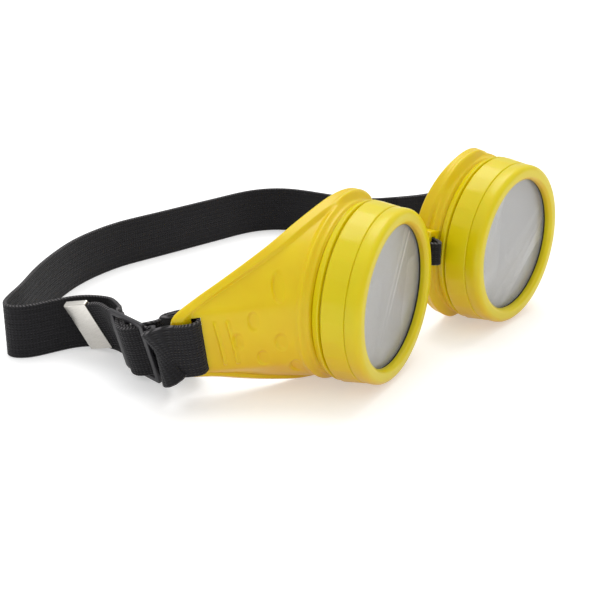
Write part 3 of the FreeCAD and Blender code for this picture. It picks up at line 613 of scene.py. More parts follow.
@dataclass
class EyeCup:
    """One cup: the barrel for the lenses, the funnel of the shell with its wing, and the rolled edge
    that lies on the face."""

    finishes: Finishes
    shell_radius: float = 28.2
    shoulder: float = 16.2
    wall: float = 1.8
    roll: float = 1.2
    rim_width: float = 4.4
    wing_reach: float = 49.5
    wing_back: float = 53.3
    nose_reach: float = 30.0
    nose_back: float = 25.6
    brow_back: float = 24.4
    half_height: float = 31.0
    cheek_share: float = 0.955
    barrel_start: float = 4.2
    barrel_radius: float = 26.88
    bore_radius: float = 25.08
    window_radius: float = 23.4
    seat: float = 10.0
    shelf: float = 2.0
    plate: float = 2.0
    slot_length: float = 19.6
    slot_width: float = 3.0
    slot_bar: float = 7.2
    bead_back: float = 2.9
    bead_height: float = 0.95
    bead_width: float = 1.0
    steps_round: int = 300
    steps_out: int = 190
    wing_start: float = 12.0
    rib_height: float = 0.8
    rib_half_width: float = 0.85
    rib_bow: float = 1.1
    dimple_depth: float = 0.95
    # The lug: its reach beyond the shell, width, depth, height and place below the lens axis, and its slot.
    lug_reach: float = 5.6
    lug_width: float = 8.6
    lug_depth: float = 4.6
    lug_height: float = 12.4
    lug_drop: float = 3.0
    lug_gap: float = 0.3
    lug_bar: float = 1.2
    lug_slot_width: float = 2.4
    lug_slot_height: float = 8.8
    # Raised ribs ahead of the slot: distance along the wing at the top and at the bottom, and half length.
    ribs: tuple = ((28.6, 27.2, 8.4), (24.8, 23.3, 8.4))
    # Shallow thumb-nail dimples on the wing: along, up, half width, half height.
    dimples: tuple = (
        (8.3, 15.4, 2.3, 4.4), (16.8, 6.8, 2.2, 3.4), (9.2, -1.4, 2.4, 3.4),
        (22.1, 0.2, 2.0, 3.2), (15.3, -7.0, 2.3, 3.2), (5.7, -12.4, 2.3, 3.6),
    )

    def face_depth(self) -> SmoothLine:
        """The face edge seen from above: how far back it is at each distance out."""
        nose, reach, brow, tip = self.nose_reach, self.wing_reach, self.brow_back, self.wing_back
        rise = tip - brow
        points = (
            (-nose - 10.0, self.nose_back + 9.0), (-nose, self.nose_back), (-0.5 * nose, brow - 2.2),
            (0.0, brow), (0.3 * reach, brow + 0.17 * rise), (0.6 * reach, brow + 0.46 * rise),
            (0.82 * reach, brow + 0.79 * rise), (reach, tip), (reach + 8.0, tip + 6.0),
        )
        return SmoothLine([[back] for _, back in points], [out for out, _ in points])

    def edge_points(self) -> list[tuple[float, float, float]]:
        """The face edge from the wing's tip over the brow to the nose and back under the cheek."""
        shares = (
            (1.0, 0.0), (0.998, 0.2), (0.98, 0.345), (0.9, 0.43), (0.8, 0.51), (0.69, 0.615), (0.475, 0.8),
            (0.29, 0.905), (0.1, 0.975), (-0.17, 1.0), (-0.5, 0.925), (-0.79, 0.72), (-0.95, 0.39),
            (-1.0, 0.0),
        )
        depth = self.face_depth()
        brow = []
        for out_share, up_share in shares:
            out = out_share * (self.wing_reach if out_share > 0 else self.nose_reach)
            brow.append((out, float(depth.at(out)[0]), up_share * self.half_height))
        cheek = [(out, back, -up * self.cheek_share) for out, back, up in brow[1:-1]]
        return brow + cheek[::-1]

    def wing_axes(self) -> tuple[Vector, Vector, float]:
        """Directions along the wing's wall and out of it, and its length."""
        along = Vector((self.wing_reach - self.shell_radius, self.wing_back - self.shoulder, 0))
        length = along.length
        along.normalize()
        return along, Vector((along.y, -along.x, 0)), length

    def wing_place(self, point: Vector) -> tuple[float, float]:
        """How far a point lies along the wing and out of its wall."""
        along, outwards, _ = self.wing_axes()
        offset = point - Vector((self.shell_radius, self.shoulder, 0))
        return offset.dot(along), offset.dot(outwards)

    def relief(self, point: Vector) -> float:
        """How far the outside stands proud of the plain funnel at a point: the bead, ribs and dimples."""
        bead_offset = (point.y - self.shoulder - self.bead_back) / self.bead_width
        height = self.bead_height * math.exp(-(bead_offset**2))
        if point.x < self.wing_start:
            return height
        distance, _ = self.wing_place(point)
        for top, bottom, half_length in self.ribs:
            share = (point.z / half_length + 1) / 2
            line = bottom + (top - bottom) * share - self.rib_bow * (share - share * share)
            fade_across = 1 - smoothstep(0.0, 1.0, abs(distance - line) / self.rib_half_width)
            fade_along = 1 - smoothstep(0.86, 1.0, abs(point.z) / half_length)
            height += self.rib_height * fade_across * fade_along
        for along, up, half_width, half_height in self.dimples:
            x, z = (distance - along) / half_width, (point.z - up) / half_height
            reach = math.hypot(x, z)
            if reach < 1.0:
                slant = 0.5 + 0.5 * max(-1.0, min(1.0, x * 1.3))
                height -= self.dimple_depth * (1 - smoothstep(0.72, 1.0, reach)) * slant
        return height

    def section(self, angle: float, edge: np.ndarray) -> list[Vector]:
        """The closed section of the cup through one place of its face edge.

        Args:
            angle: where the section starts about the lens axis, at the shoulder.
            edge: its place on the face edge: out, back and up.

        Returns:
            Its points, from the bore's front over the outside and the face edge, and back inside.
        """
        radial = Vector((math.cos(angle), 0, math.sin(angle)))

        def ring(radius: float, back: float) -> Vector:
            return radial * radius + Vector((0, back, 0))

        def on_edge(inset: float) -> Vector:
            share = 1.0 - inset / math.hypot(edge[0], edge[2])
            return Vector((edge[0] * share, edge[1], edge[2] * share))

        bore, barrel = self.bore_radius, self.barrel_radius
        shell, window = self.shell_radius, self.window_radius
        start, seat, shoulder = self.barrel_start, self.seat, self.shoulder
        shelf = seat + self.shelf
        points = [
            ring(bore, seat), ring(bore, start + 0.3),
            ring(bore + 0.3, start),
            ring(barrel - 0.4, start),
            ring(barrel, start + 0.4), ring(barrel, shoulder - 0.2),
            ring(barrel + 0.2, shoulder), ring(shell - 0.5, shoulder),
        ]
        near, far = ring(shell, shoulder), on_edge(self.roll)
        flare = on_edge(0.0) - far
        normal = radial * 1.0
        rounding = 1.0
        length = far.y - near.y
        last = 1.0 - rounding / length
        for step in range(self.steps_out + 1):
            share = last * step / self.steps_out
            point = near.lerp(far, share)
            outward = point - Vector((0.45 * point.x, point.y, 0.0))
            normal = Vector((outward.x, -0.25 * outward.length, outward.z)).normalized()
            to_edge = far.y - point.y
            raised = 1 - smoothstep(self.rim_width - 0.7, self.rim_width + 0.9, to_edge)
            shoulder_round = 0.5 * (1 - smoothstep(0.0, 0.8, point.y - near.y))
            points.append(point + flare * raised + normal * self.relief(point) - radial * shoulder_round)
        inside = on_edge(self.roll + self.wall)
        start_inside = ring(shell - self.wall, shoulder)
        outer_end, inner_end = points[-1], start_inside.lerp(inside, last)
        middle, half = (outer_end + inner_end) / 2, (outer_end - inner_end) / 2
        forward = Vector((0, rounding, 0))
        for step in range(1, 8):
            turn = math.pi * step / 8
            points.append(middle + half * math.cos(turn) + forward * math.sin(turn) ** 0.7)
        steps_in = 40
        plate_back = shoulder + self.plate
        first = (plate_back - shoulder) / (inside.y - shoulder)
        for step in range(steps_in + 1):
            points.append(start_inside.lerp(inside, last + (first - last) * step / steps_in))
        points += [
            ring(bore + 0.3, plate_back), ring(bore, plate_back - 0.3),
            ring(bore, shelf), ring(window + 0.2, shelf),
            ring(window, shelf - 0.2), ring(window, seat + 0.2),
            ring(window + 0.2, seat), ring(bore, seat),
        ]
        return points

    def cut_slot(self, bm: Mesh) -> None:
        """Open the strap slot through the wing's wall."""
        along, outwards, length = self.wing_axes()
        start, end = length - self.slot_bar - self.slot_width, length - self.slot_bar
        half = self.slot_length / 2
        base = Vector((self.shell_radius, self.shoulder, 0))

        def at_slot(face: bmesh.types.BMFace, margin: float = 0.0) -> bool:
            centre = face.calc_center_median()
            distance, outward = self.wing_place(centre)
            beside = start - margin < distance < end + margin
            return beside and abs(centre.z) < half + margin and -6.5 < outward < 4

        planes = ((base + along * start, along), (base + along * end, along))
        planes += ((Vector((0, 0, half)), Vector((0, 0, 1))), (Vector((0, 0, -half)), Vector((0, 0, 1))))
        for place, normal in planes:
            faces = [face for face in bm.faces if at_slot(face, margin=3.0)]
            edges = {edge for face in faces for edge in face.edges}
            verts = {vert for face in faces for vert in face.verts}
            geom = faces + list(edges) + list(verts)
            bmesh.ops.bisect_plane(bm, geom=geom, plane_co=place, plane_no=normal, dist=1e-4)
        opened = [face for face in bm.faces if at_slot(face)]
        bmesh.ops.delete(bm, geom=opened, context="FACES")
        border = [edge for edge in bm.edges if edge.is_boundary]
        wall = bmesh.ops.bridge_loops(bm, edges=border)["faces"]
        log.info("slot: %d faces out, %d in its wall", len(opened), len(wall))

    def build(self, frame: CupFrame) -> Piece:
        """Make one cup with its bridge lug."""
        edge_points = self.edge_points()
        edge_line = closed_line(edge_points)
        angles = []
        for out, _, up in edge_points:
            angle = math.atan2(up, out)
            spread = 1.0 + 0.75 * max(0.0, math.cos(angle)) ** 6
            angles.append((math.cos(angle * spread), math.sin(angle * spread)))
        angle_line = closed_line(angles)
        sections = []
        for step in range(self.steps_round + 1):
            knot = len(edge_points) * (step % self.steps_round) / self.steps_round
            cosine, sine = angle_line.at(knot)
            sections.append(self.section(math.atan2(sine, cosine), edge_line.at(knot)))
        bm = skin(sections)
        self.cut_slot(bm)
        bm = join([bm, self.lug()])
        name = frame.side.word + "_cup"
        piece = make_piece(name + "_shell", bm, frame.matrix(), self.finishes.cup, sharp=50.0)
        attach(piece, name)
        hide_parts(frame.side.word + "_eye_cup")
        return piece

    def lug(self) -> Mesh:
        """The block beside the nose, with an upright slot for the bridge strap."""
        reach = self.shell_radius + self.lug_reach
        front = self.shoulder + self.lug_gap
        back = front + self.lug_depth
        slot = -reach + self.lug_bar
        outer = self.upright(-reach, -reach + self.lug_width, self.lug_height / 2)
        inner = self.upright(slot, slot + self.lug_slot_width, self.lug_slot_height / 2)
        rows = []
        for loop, depth in ((outer, front), (outer, back), (inner, back), (inner, front), (outer, front)):
            row = [Vector((x, depth, z - self.lug_drop)) for x, z in loop]
            rows.append(row + row[:1])
        bm = skin(rows)
        edges = [edge for edge in bm.edges if all(vert.co.x < -reach + 0.5 for vert in edge.verts)]
        round_edges(bm, edges, 0.8, 4)
        return bm

    @staticmethod
    def upright(near: float, far: float, half_height: float) -> list[tuple[float, float]]:
        """A rectangle's corners, from the top near one."""
        return [(near, half_height), (far, half_height), (far, -half_height), (near, -half_height)]


# ---------------------------------------------------------------- straps and their fittings


@dataclass(frozen=True)
class Station:
    """One place along a strap, in millimetres in the row frame, and the way its width points."""

    centre: Vector
    across: Vector


def free_station(x: float, y: float, z: float, lean: float = 0.0) -> Station:
    """A place measured from the midpoint between the rings, with the top leaning out by lean degrees."""
    centre = Vector((MIDDLE.x + x, MIDDLE.y + y, z + STRAP_REST))
    return Station(centre, Vector((math.tan(math.radians(lean)), 0, 1)))


@dataclass
class SlideAdjuster:
    """The three-bar adjuster: a flat plate with two windows, and how the strap weaves through it."""

    finishes: Finishes
    height: float = 23.6
    thickness: float = 1.3
    centre_bar: float = 1.8
    end_bar: float = 2.2
    window: float = 6.2
    window_height: float = 20.0
    corner_radius: float = 1.4
    edge_radius: float = 0.34
    strap_thickness: float = 1.2
    layer_gap: float = 0.25
    start: tuple[float, float] = (-77.9, 76.8)
    lean: float = -16.0
    heading: float = 13.6

    def half_length(self) -> float:
        """Half its length along the strap."""
        return self.centre_bar / 2 + self.window + self.end_bar

    def matrix(self) -> Matrix:
        """From its own frame (along the strap, outwards, across the strap) to the row frame."""
        rise = self.height / 2 * math.cos(math.radians(self.lean)) + self.thickness / 2
        base = Vector((MIDDLE.x + self.start[0], MIDDLE.y + self.start[1], rise))
        turn = Matrix.Rotation(math.radians(90 - self.heading), 4, "Z")
        turn = turn @ Matrix.Rotation(math.radians(self.lean), 4, "X")
        return Matrix.Translation(base) @ turn

    def weave(self, along: float, layer: int) -> tuple[float, float]:
        """Where a strap layer runs: how far along the adjuster and how far out of its mid-plane."""
        half_strap, half_frame = self.strap_thickness / 2, self.thickness / 2
        pitch = self.strap_thickness + self.layer_gap
        crest = half_frame + half_strap + 0.35
        trough = -(half_frame + half_strap + 0.2) - pitch
        half_wave = self.half_wave()
        swing = math.pi * along / half_wave
        swell = (crest - trough) / 2
        out = (crest + trough) / 2 + swell * math.cos(swing)
        slope = -swell * math.sin(swing) * math.pi / half_wave
        scale = pitch * layer / math.hypot(1, slope)
        return along - slope * scale, out + scale

    def half_wave(self) -> float:
        """From the middle bar to where the strap passes under an end bar."""
        return (self.centre_bar + self.end_bar) / 2 + self.window - 0.5

    def station(self, along: float, out: float) -> Station:
        """A strap place in the adjuster's own frame."""
        matrix = self.matrix()
        return Station(matrix @ Vector((along, out, 0)), matrix.to_3x3() @ Vector((0, 0, 1)))

    def exit(self, end: int, layer: int) -> Station:
        """Where a layer has passed under an end bar: end is 1 towards the back of the head."""
        _, out = self.weave(end * (self.half_length() - self.end_bar), layer)
        return self.station(end * (self.half_length() + 1.2), out - 0.1)

    def stations(self, layer: int, backwards: bool) -> list[Station]:
        """A layer's places through the adjuster."""
        count = 20
        half = self.half_wave()
        shares = [2 * step / count - 1 for step in range(count + 1)]
        places = [self.station(*self.weave(half * share, layer)) for share in shares]
        return places[::-1] if backwards else places

    def build(self) -> Piece:
        """Make the adjuster."""
        half, high, middle = self.half_length(), self.height / 2, self.centre_bar / 2
        columns = (-half, -half + self.end_bar, -middle, middle, half - self.end_bar, half)
        levels = (-high, -self.window_height / 2, self.window_height / 2, high)
        rows = [[Vector((x, -self.thickness / 2, z)) for z in levels] for x in columns]
        bm = skin(rows)
        windows = []
        for face in bm.faces:
            centre = face.calc_center_median()
            if abs(centre.z) < 1 and middle < abs(centre.x) < half - self.end_bar:
                windows.append(face)
        bmesh.ops.delete(bm, geom=windows, context="FACES")
        grown = bmesh.ops.extrude_face_region(bm, geom=bm.faces[:])["geom"]
        lifted = [item for item in grown if isinstance(item, bmesh.types.BMVert)]
        bmesh.ops.translate(bm, vec=Vector((0, self.thickness, 0)), verts=lifted)
        bmesh.ops.recalc_face_normals(bm, faces=bm.faces[:])
        corners = [
            edge for edge in bm.edges
            if all(abs(vert.co.x) > half - 0.01 and abs(vert.co.z) > high - 0.01 for vert in edge.verts)
        ]
        round_edges(bm, corners, self.corner_radius, 5)
        sharp = [edge for edge in bm.edges if edge.calc_face_angle(0.0) > math.radians(50)]
        round_edges(bm, sharp, self.edge_radius, 3)
        piece = make_piece("slide_adjuster_body", bm, self.matrix(), self.finishes.adjuster)
        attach(piece, "adjuster")
        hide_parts("slide_adjuster")
        return piece


@dataclass
class StrapEndCrimp:
    """Bright sheet metal folded over the strap's free end."""

    finishes: Finishes
    width: float = 9.0
    metal: float = 0.5
    fold_radius: float = 0.42
    gap: float = 0.15
    strap_width: float = 19.0
    strap_thickness: float = 1.2
    start: tuple[float, float] = (-70.5, 98.5)
    heading: float = 97.7
    dip: float = 13.6
    lean: float = -23.0

    def matrix(self) -> Matrix:
        """From its own frame (along the strap, outwards, across the strap) to the row frame."""
        half = self.strap_width / 2 + self.gap + self.metal
        dip, lean = math.radians(self.dip), math.radians(self.lean)
        rise = half * math.cos(lean) * math.cos(dip) + self.width * math.sin(dip) + 0.6
        base = Vector((MIDDLE.x + self.start[0], MIDDLE.y + self.start[1], rise))
        turn = Matrix.Rotation(math.radians(self.heading), 4, "Z")
        turn = turn @ Matrix.Rotation(dip, 4, "Y") @ Matrix.Rotation(lean, 4, "X")
        return Matrix.Translation(base) @ turn

    def station(self, share: float) -> Station:
        """A strap place inside the crimp, as a share of its depth."""
        inside = self.width - self.metal - self.gap
        matrix = self.matrix()
        return Station(matrix @ Vector((share * inside, 0, 0)), matrix.to_3x3() @ Vector((0, 0, 1)))

    def build(self) -> Piece:
        """Make the crimp: two plates and the folds between them."""
        half_thick = self.strap_thickness / 2 + self.gap + self.metal
        half_long = self.strap_width / 2 + self.gap + self.metal
        inner_thick, inner_long = half_thick - self.metal, half_long - self.metal
        signs = ((-1, -1), (1, -1), (1, 1), (-1, 1))
        outer = [(half_thick * through, half_long * across) for through, across in signs]
        inner = [(inner_thick * through, inner_long * across) for through, across in signs]
        end = self.width
        rows = []
        for loop, along in ((inner, end - self.metal), (inner, 0.0), (outer, 0.0), (outer, end)):
            row = [Vector((along, y, z)) for y, z in loop]
            rows.append(row + row[:1])
        bm = skin(rows)
        holes = [edge for edge in bm.edges if edge.is_boundary]
        bmesh.ops.holes_fill(bm, edges=holes, sides=4)
        bmesh.ops.recalc_face_normals(bm, faces=bm.faces[:])

        def on_fold(vert: bmesh.types.BMVert) -> bool:
            return abs(vert.co.y) > half_thick - 0.01 and abs(vert.co.z) > half_long - 0.01

        outside = [
            edge for edge in bm.edges
            if all(on_fold(vert) for vert in edge.verts) or all(vert.co.x > end - 0.01 for vert in edge.verts)
        ]
        round_edges(bm, outside, self.fold_radius, 3)
        piece = make_piece("strap_end_crimp_metal", bm, self.matrix(), self.finishes.steel)
        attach(piece, "right_cup")
        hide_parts("strap_end_crimp")
        return piece


@dataclass
class Webbing:
    """A flat strap of constant section with ribs along it."""

    width: float
    thickness: float
    ribs: int
    step: float
    groove: float = 0.13

    def outline(self) -> tuple[list[tuple[float, float]], list[float]]:
        """The strap's section as points across and through it, and each point's distance across."""
        half_width, half_thick = self.width / 2 - 0.3, self.thickness / 2
        per_rib = 5
        count = self.ribs * per_rib
        face = []
        for number in range(count + 1):
            place = (number % per_rib) / per_rib
            dip = self.groove * max(0.0, 1 - min(place, 1 - place) / 0.16) if 0 < number < count else 0.0
            face.append((half_width * (1 - 2 * number / count), half_thick - dip))
        edge, fullness = -self.width / 2, half_thick * 0.72
        bulge = [(edge + 0.1, fullness), (edge, 0.0), (edge + 0.1, -fullness)]
        points = face + bulge
        points += [(-across, -through) for across, through in points]
        points.append(points[0])
        return points, [across for across, _ in points]

    def ribbon(self, stations: Sequence[Station]) -> Mesh:
        """Run the section along a smooth line through the stations, and close both ends."""
        centres = [station.centre for station in stations]
        knots = [0.0]
        for a, b in zip(centres, centres[1:]):
            knots.append(knots[-1] + math.sqrt((b - a).length))
        line = SmoothLine(centres, knots)
        outline, across_values = self.outline()
        rows, along_values, travelled = [], [], 0.0
        previous = None
        for index in range(len(centres) - 1):
            steps = max(1, math.ceil((centres[index + 1] - centres[index]).length / self.step))
            last = index == len(centres) - 2
            for step in range(steps + 1 if last else steps):
                share = step / steps
                knot = knots[index] + (knots[index + 1] - knots[index]) * share
                centre = Vector(line.at(knot))
                ahead, behind = min(knot + 1e-3, knots[-1]), max(knot - 1e-3, 0.0)
                tangent = (Vector(line.at(ahead)) - Vector(line.at(behind))).normalized()
                across = stations[index].across.lerp(stations[index + 1].across, share)
                across = (across - tangent * across.dot(tangent)).normalized()
                level = Vector((tangent.x, tangent.y, 0)).normalized()
                normal = level.cross(across).normalized()
                rows.append([centre + across * a + normal * t for a, t in outline])
                travelled += (centre - previous).length if previous else 0.0
                along_values.append(travelled)
                previous = centre
        log.info("strap length %.1f mm", travelled)
        bm = skin(rows, across_values, along_values)
        ends = [edge for edge in bm.edges if edge.is_boundary]
        bmesh.ops.holes_fill(bm, edges=ends, sides=0)
        return bm


@dataclass
class HeadStrap:
    """The elastic: sewn round the left wing's bar, round the back of the head, through the adjuster and
    the right wing's slot, and back through the adjuster to its metal end."""

    finishes: Finishes
    cup: EyeCup
    adjuster: SlideAdjuster
    crimp: StrapEndCrimp
    webbing: Webbing = field(default_factory=lambda: Webbing(19.0, 1.2, 9, 1.1))

    def wing_stations(self, side: Side) -> list[Station]:
        """The strap's places around the bar at the tip of a wing."""
        along, outwards, length = self.cup.wing_axes()
        bar = length - self.cup.slot_bar
        clear = self.webbing.thickness / 2 + 0.5
        inside = -(self.cup.wall + self.cup.roll) - clear - 0.3
        places = (
            (length + 0.6, clear), (length - 2.0, clear), (bar - 0.7, clear - 0.1), (bar - 2.2, -0.5),
            (bar - 2.2, -2.6), (bar - 0.4, inside), (length - 1.8, inside),
        )
        frame = CupFrame(side)
        matrix, across = frame.matrix(), frame.direction((0, 0, 1))
        base = Vector((self.cup.shell_radius, self.cup.shoulder, 0))
        return [Station(matrix @ (base + along * d + outwards * o), across) for d, o in places]

    def route(self) -> list[Station]:
        """Every place along the strap."""
        sewn_end = [(80.9, 68.0, 12.6, 4), (82.7, 58.0, 14.8, 7), (84.2, 51.0, 16.8, 9)]
        left_side = [
            (86.4, 51.0, 16.8, 9), (84.4, 58.0, 14.8, 7), (82.5, 68.0, 12.6, 4), (80.2, 82.0, 10.2, 1),
            (78.1, 97.0, 9.5), (76.9, 111.0, 9.5), (73.7, 123.0, 9.5), (64.5, 132.0, 9.5),
        ]
        back_run = [
            (51.0, 136.8, 9.5), (37.8, 140.5, 9.5), (13.8, 147.3, 9.5), (0.5, 150.9, 9.5),
            (-11.5, 152.0, 9.5), (-24.5, 151.2, 9.5), (-38.5, 147.8, 9.5), (-57.0, 140.8, 9.5),
            (-72.0, 133.4, 9.5),
        ]
        right_turn = [
            (-83.0, 128.6, 9.5), (-87.3, 124.4, 9.5), (-85.4, 119.2, 9.5), (-77.2, 114.6, 9.5),
            (-68.6, 109.9, 9.5), (-64.6, 104.0, 9.5), (-63.9, 99.0, 9.6), (-65.8, 94.0, 10.0, -4),
            (-69.3, 88.2, 10.8, -9),
        ]
        inner_loop = [
            (-73.4, 69.8, 12.2, -13), (-69.2, 70.4, 12.4, -10), (-66.0, 68.4, 12.8, -8),
            (-65.6, 64.0, 13.8, -8), (-68.4, 59.4, 15.2, -9), (-74.0, 56.6, 16.6, -11),
        ]
        outer_loop = [(-88.0, 57.8, 16.2, -13), (-84.0, 61.6, 14.6, -15)]

        def free(places: Sequence[Sequence[float]]) -> list[Station]:
            return [free_station(*place) for place in places]

        adjuster = self.adjuster
        tail = [adjuster.exit(1, 1)] + [self.crimp.station(share) for share in (-0.5, 0.0, 0.5, 1.0)]
        return (
            free(sewn_end) + self.wing_stations(Side.LEFT)[::-1] + free(left_side + back_run + right_turn)
            + adjuster.stations(0, True)[:-4] + free(inner_loop) + self.wing_stations(Side.RIGHT)[::-1]
            + free(outer_loop) + [adjuster.exit(-1, 1)] + adjuster.stations(1, False) + tail
        )

    def build(self) -> Piece:
        """Make the strap."""
        bm = self.webbing.ribbon(self.route())
        elastic = self.finishes.elastic
        piece = make_piece("head_strap_elastic", bm, Matrix.Identity(4), elastic, sharp=60.0)
        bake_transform(piece)
        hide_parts("head_strap")
        return piece

    def build_stitching(self) -> Piece:
        """Make the box stitch that holds the sewn end, as short threads on the strap's outer face."""
        first, last, half = 57.0, 67.0, 6.5
        steps_long, steps_across = 9, 10
        # The sewn face's place out, its height and its lean at the first stitch, and what each gains for
        # every millimetre back.
        out, out_gain = 84.708, -0.232
        height, height_gain = 15.01, -0.21
        lean, lean_gain = 7.26, -0.29
        heading = Matrix.Rotation(math.radians(13.0), 4, "Z")
        threads = []
        for number in range(steps_long + 1):
            back = (last - first) * number / steps_long
            threads += [(back, -half, True), (back, half, True)]
        for back in (0.0, last - first):
            threads += [
                (back, -half + 2 * half * number / steps_across, False)
                for number in range(steps_across + 1)
            ]
        parts = []
        for back, up, lengthwise in threads:
            size = (0.3, 0.85, 0.34) if lengthwise else (0.3, 0.34, 0.95)
            bm = block(size, (0.0, 0.0, up), 0.12, 2)
            turn = heading @ Matrix.Rotation(math.radians(lean + lean_gain * back), 4, "Y")
            place = Vector((out + out_gain * back, first + back, height + height_gain * back))
            place += Vector((MIDDLE.x, MIDDLE.y, 0))
            bmesh.ops.transform(bm, matrix=Matrix.Translation(place) @ turn, verts=bm.verts[:])
            parts.append(bm)
        piece = make_piece("strap_box_stitch", join(parts), Matrix.Identity(4), self.finishes.thread)
        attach(piece, "left_cup")
        return piece


@dataclass
class Bridge:
    """The short strap between the cups, and the metal clip on each of its ends."""

    finishes: Finishes
    cup: EyeCup
    webbing: Webbing = field(default_factory=lambda: Webbing(8.0, 1.2, 4, 0.5))
    clip_length: float = 2.6
    clip_metal: float = 0.5
    clip_width: float = 2.5
    clip_margin: float = 1.3

    def slot_out(self) -> float:
        """The middle of the lug's slot, out from the lens axis."""
        cup = self.cup
        return -(cup.shell_radius + cup.lug_reach) + cup.lug_bar + cup.lug_slot_width / 2

    def route(self) -> list[Station]:
        """The strap's places from the right lug, bowed forward between the rings, to the left lug."""
        drop, half_lug = self.cup.lug_drop, self.cup.lug_depth / 2
        middle = self.cup.shoulder + self.cup.lug_gap + half_lug
        past = half_lug + self.cup.lug_gap + self.clip_length - self.clip_metal - 0.1
        ends = []
        for side, offsets in ((Side.RIGHT, (past, 1.2, -1.2, -2.9)), (Side.LEFT, (-2.9, -1.2, 1.2, past))):
            frame = CupFrame(side)
            matrix, across = frame.matrix(), frame.direction((0, 0, 1))
            ends.append([
                Station(matrix @ Vector((self.slot_out(), middle + offset, -drop)), across)
                for offset in offsets
            ])
        height = ends[0][0].centre.z - STRAP_REST
        bow = [free_station(-1.6, 14.6, height, 4), free_station(1.4, 9.4, height)]
        return ends[0] + bow + ends[1]

    def build(self) -> list[Piece]:
        """Make the bridge strap and its clips."""
        bm = self.webbing.ribbon(self.route())
        elastic = self.finishes.bridge_elastic
        strap = make_piece("bridge_strap_elastic", bm, Matrix.Identity(4), elastic, sharp=60.0)
        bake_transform(strap)
        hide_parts("bridge_strap")
        pieces = [strap]
        for side in Side:
            lo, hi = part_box(side.word + "_bridge_clip")
            cup = self.cup
            front = cup.shoulder + cup.lug_gap + cup.lug_depth + cup.lug_gap + self.clip_length / 2
            size = (self.clip_width, self.clip_length, self.webbing.width + self.clip_margin)
            clip = block(size, (self.slot_out(), front, -cup.lug_drop), 0.4)
            name = side.word + "_bridge_clip"
            log.info("%s height %.2f mm", name, (hi[2] - lo[2]) / MM)
            piece = make_piece(name + "_metal", clip, CupFrame(side).matrix(), self.finishes.steel)
            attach(piece, side.word + "_cup")
            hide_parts(name)
            pieces.append(piece)
        return pieces


# ---------------------------------------------------------------- lenses, light and camera


@dataclass
class LensStack:
    """The washers and lenses, whose CAD shapes are right as they are and only take their finishes."""

    finishes: Finishes

    def dress(self, frame: dict[str, Any], side: Side) -> None:
        """Give one side's lenses and washers their finishes."""
        chosen = {
            "cover_lens": self.finishes.cover, "filter_lens": self.finishes.filter,
            "backing_lens": self.finishes.backing, "front_gasket": self.finishes.rubber,
            "seat_gasket": self.finishes.rubber,
        }
        for part, material in chosen.items():
            node = frame["nodes"]["%s_%s" % (side.word, part)]
            for slot in node.material_slots:
                slot.material = material
            log.info("%s dressed", node.name)


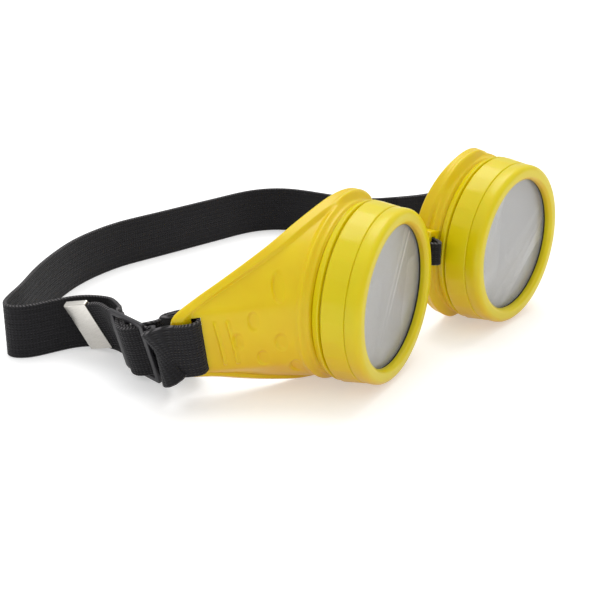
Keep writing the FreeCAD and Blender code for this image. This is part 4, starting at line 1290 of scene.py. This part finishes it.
@dataclass
class Studio:
    """A white sweep under broad soft lights, and the camera."""

    camera_place: tuple[float, float, float] = (-347.8, -164.6, 171.9)
    view_direction: tuple[float, float] = (0.8349, 0.5504)
    pitch: float = 21.91
    focal_mm: float = 73.26
    seen_strength: float = 1.0
    floor_glow: float = 0.4
    floor_bounce: float = 0.3
    horizon_strength: float = 0.45
    zenith_strength: float = 1.1
    overhead_strength: float = 1.4
    overhead_spread: float = math.radians(45)
    overhead_direction: tuple[float, float, float] = (-0.34, -0.22, -1.0)

    def build(self) -> None:
        """Set the floor, world, lights and camera."""
        self.floor()
        self.world()
        self.overhead()
        self.camera()

    def floor(self) -> None:
        """A matt white sweep, which looks whiter than it lights the goggles."""
        bm = bmesh.new()
        bmesh.ops.create_grid(bm, x_segments=1, y_segments=1, size=20.0)
        paper = Finish("white_paper_sweep", {
            "Base Color": (0.75, 0.75, 0.75, 1), "Roughness": 0.9, "Specular IOR Level": 0.1,
            "Emission Color": WHITE,
        })
        seen = paper.add("LightPath").outputs["Is Camera Ray"]
        glow = paper.ramp(seen, self.floor_bounce, self.floor_glow)
        mesh = bpy.data.meshes.new("floor")
        bm.to_mesh(mesh)
        bm.free()
        mesh.materials.append(paper.feed({"Emission Strength": glow}))
        floor = bpy.data.objects.new("floor", mesh)
        bpy.context.scene.collection.objects.link(floor)

    def world(self) -> None:
        """A white room, brighter overhead."""
        world = bpy.data.worlds.new("white_room")
        world.use_nodes = True
        room = NodeTree(world.node_tree)
        seen = room.add("LightPath").outputs["Is Camera Ray"]
        direction = room.add("TexCoord").outputs["Generated"]
        rise = room.add("SeparateXYZ", {0: direction}).outputs[2]
        lighting = room.ramp(rise, self.horizon_strength, self.zenith_strength)
        strength = room.ramp(seen, lighting, self.seen_strength)
        back = room.add("Background", {"Color": WHITE, "Strength": strength})
        room.add("OutputWorld", {"Surface": back.outputs[0]})
        bpy.context.scene.world = world
        bpy.context.scene.view_settings.view_transform = "Standard"

    def overhead(self) -> None:
        """One very broad light overhead, a little behind the goggles as the camera sees them."""
        data = bpy.data.lights.new("broad_overhead", "SUN")
        data.energy = self.overhead_strength
        data.angle = self.overhead_spread
        lamp = bpy.data.objects.new("broad_overhead", data)
        lamp.rotation_euler = Vector(self.overhead_direction).to_track_quat("-Z", "Y").to_euler()
        bpy.context.scene.collection.objects.link(lamp)

    def camera(self) -> None:
        """The camera, looking down at the goggles from the wearer's right."""
        data = bpy.data.cameras.new("camera")
        data.lens = self.focal_mm
        data.sensor_width = 36.0
        camera = bpy.data.objects.new("camera", data)
        offset = Vector((MIDDLE.x, MIDDLE.y, 0))
        camera.location = (offset + Vector(self.camera_place)) * MM
        pitch = math.radians(self.pitch)
        ahead = Vector((self.view_direction[0], self.view_direction[1], 0)).normalized()
        look = ahead * math.cos(pitch) - Vector((0, 0, 1)) * math.sin(pitch)
        camera.rotation_euler = look.to_track_quat("-Z", "Y").to_euler()
        bpy.context.scene.collection.objects.link(camera)
        bpy.context.scene.camera = camera


def corners(bounds: Any) -> list[list[float]]:
    """A box's two corners as plain numbers."""
    return [[float(value) for value in corner] for corner in bounds]


def main() -> None:
    """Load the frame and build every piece."""
    logging.basicConfig(level=logging.INFO)
    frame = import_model()
    finishes = Finishes()
    Studio().build()
    cup, ring, lenses = EyeCup(finishes), LensRing(finishes), LensStack(finishes)
    for side in Side:
        place = CupFrame(side)
        cup.build(place)
        ring.build(place)
        lenses.dress(frame, side)
    adjuster, crimp = SlideAdjuster(finishes), StrapEndCrimp(finishes)
    adjuster.build()
    crimp.build()
    strap = HeadStrap(finishes, cup, adjuster, crimp)
    strap.build()
    strap.build_stitching()
    Bridge(finishes, cup).build()


if __name__ == "__main__":
    main()
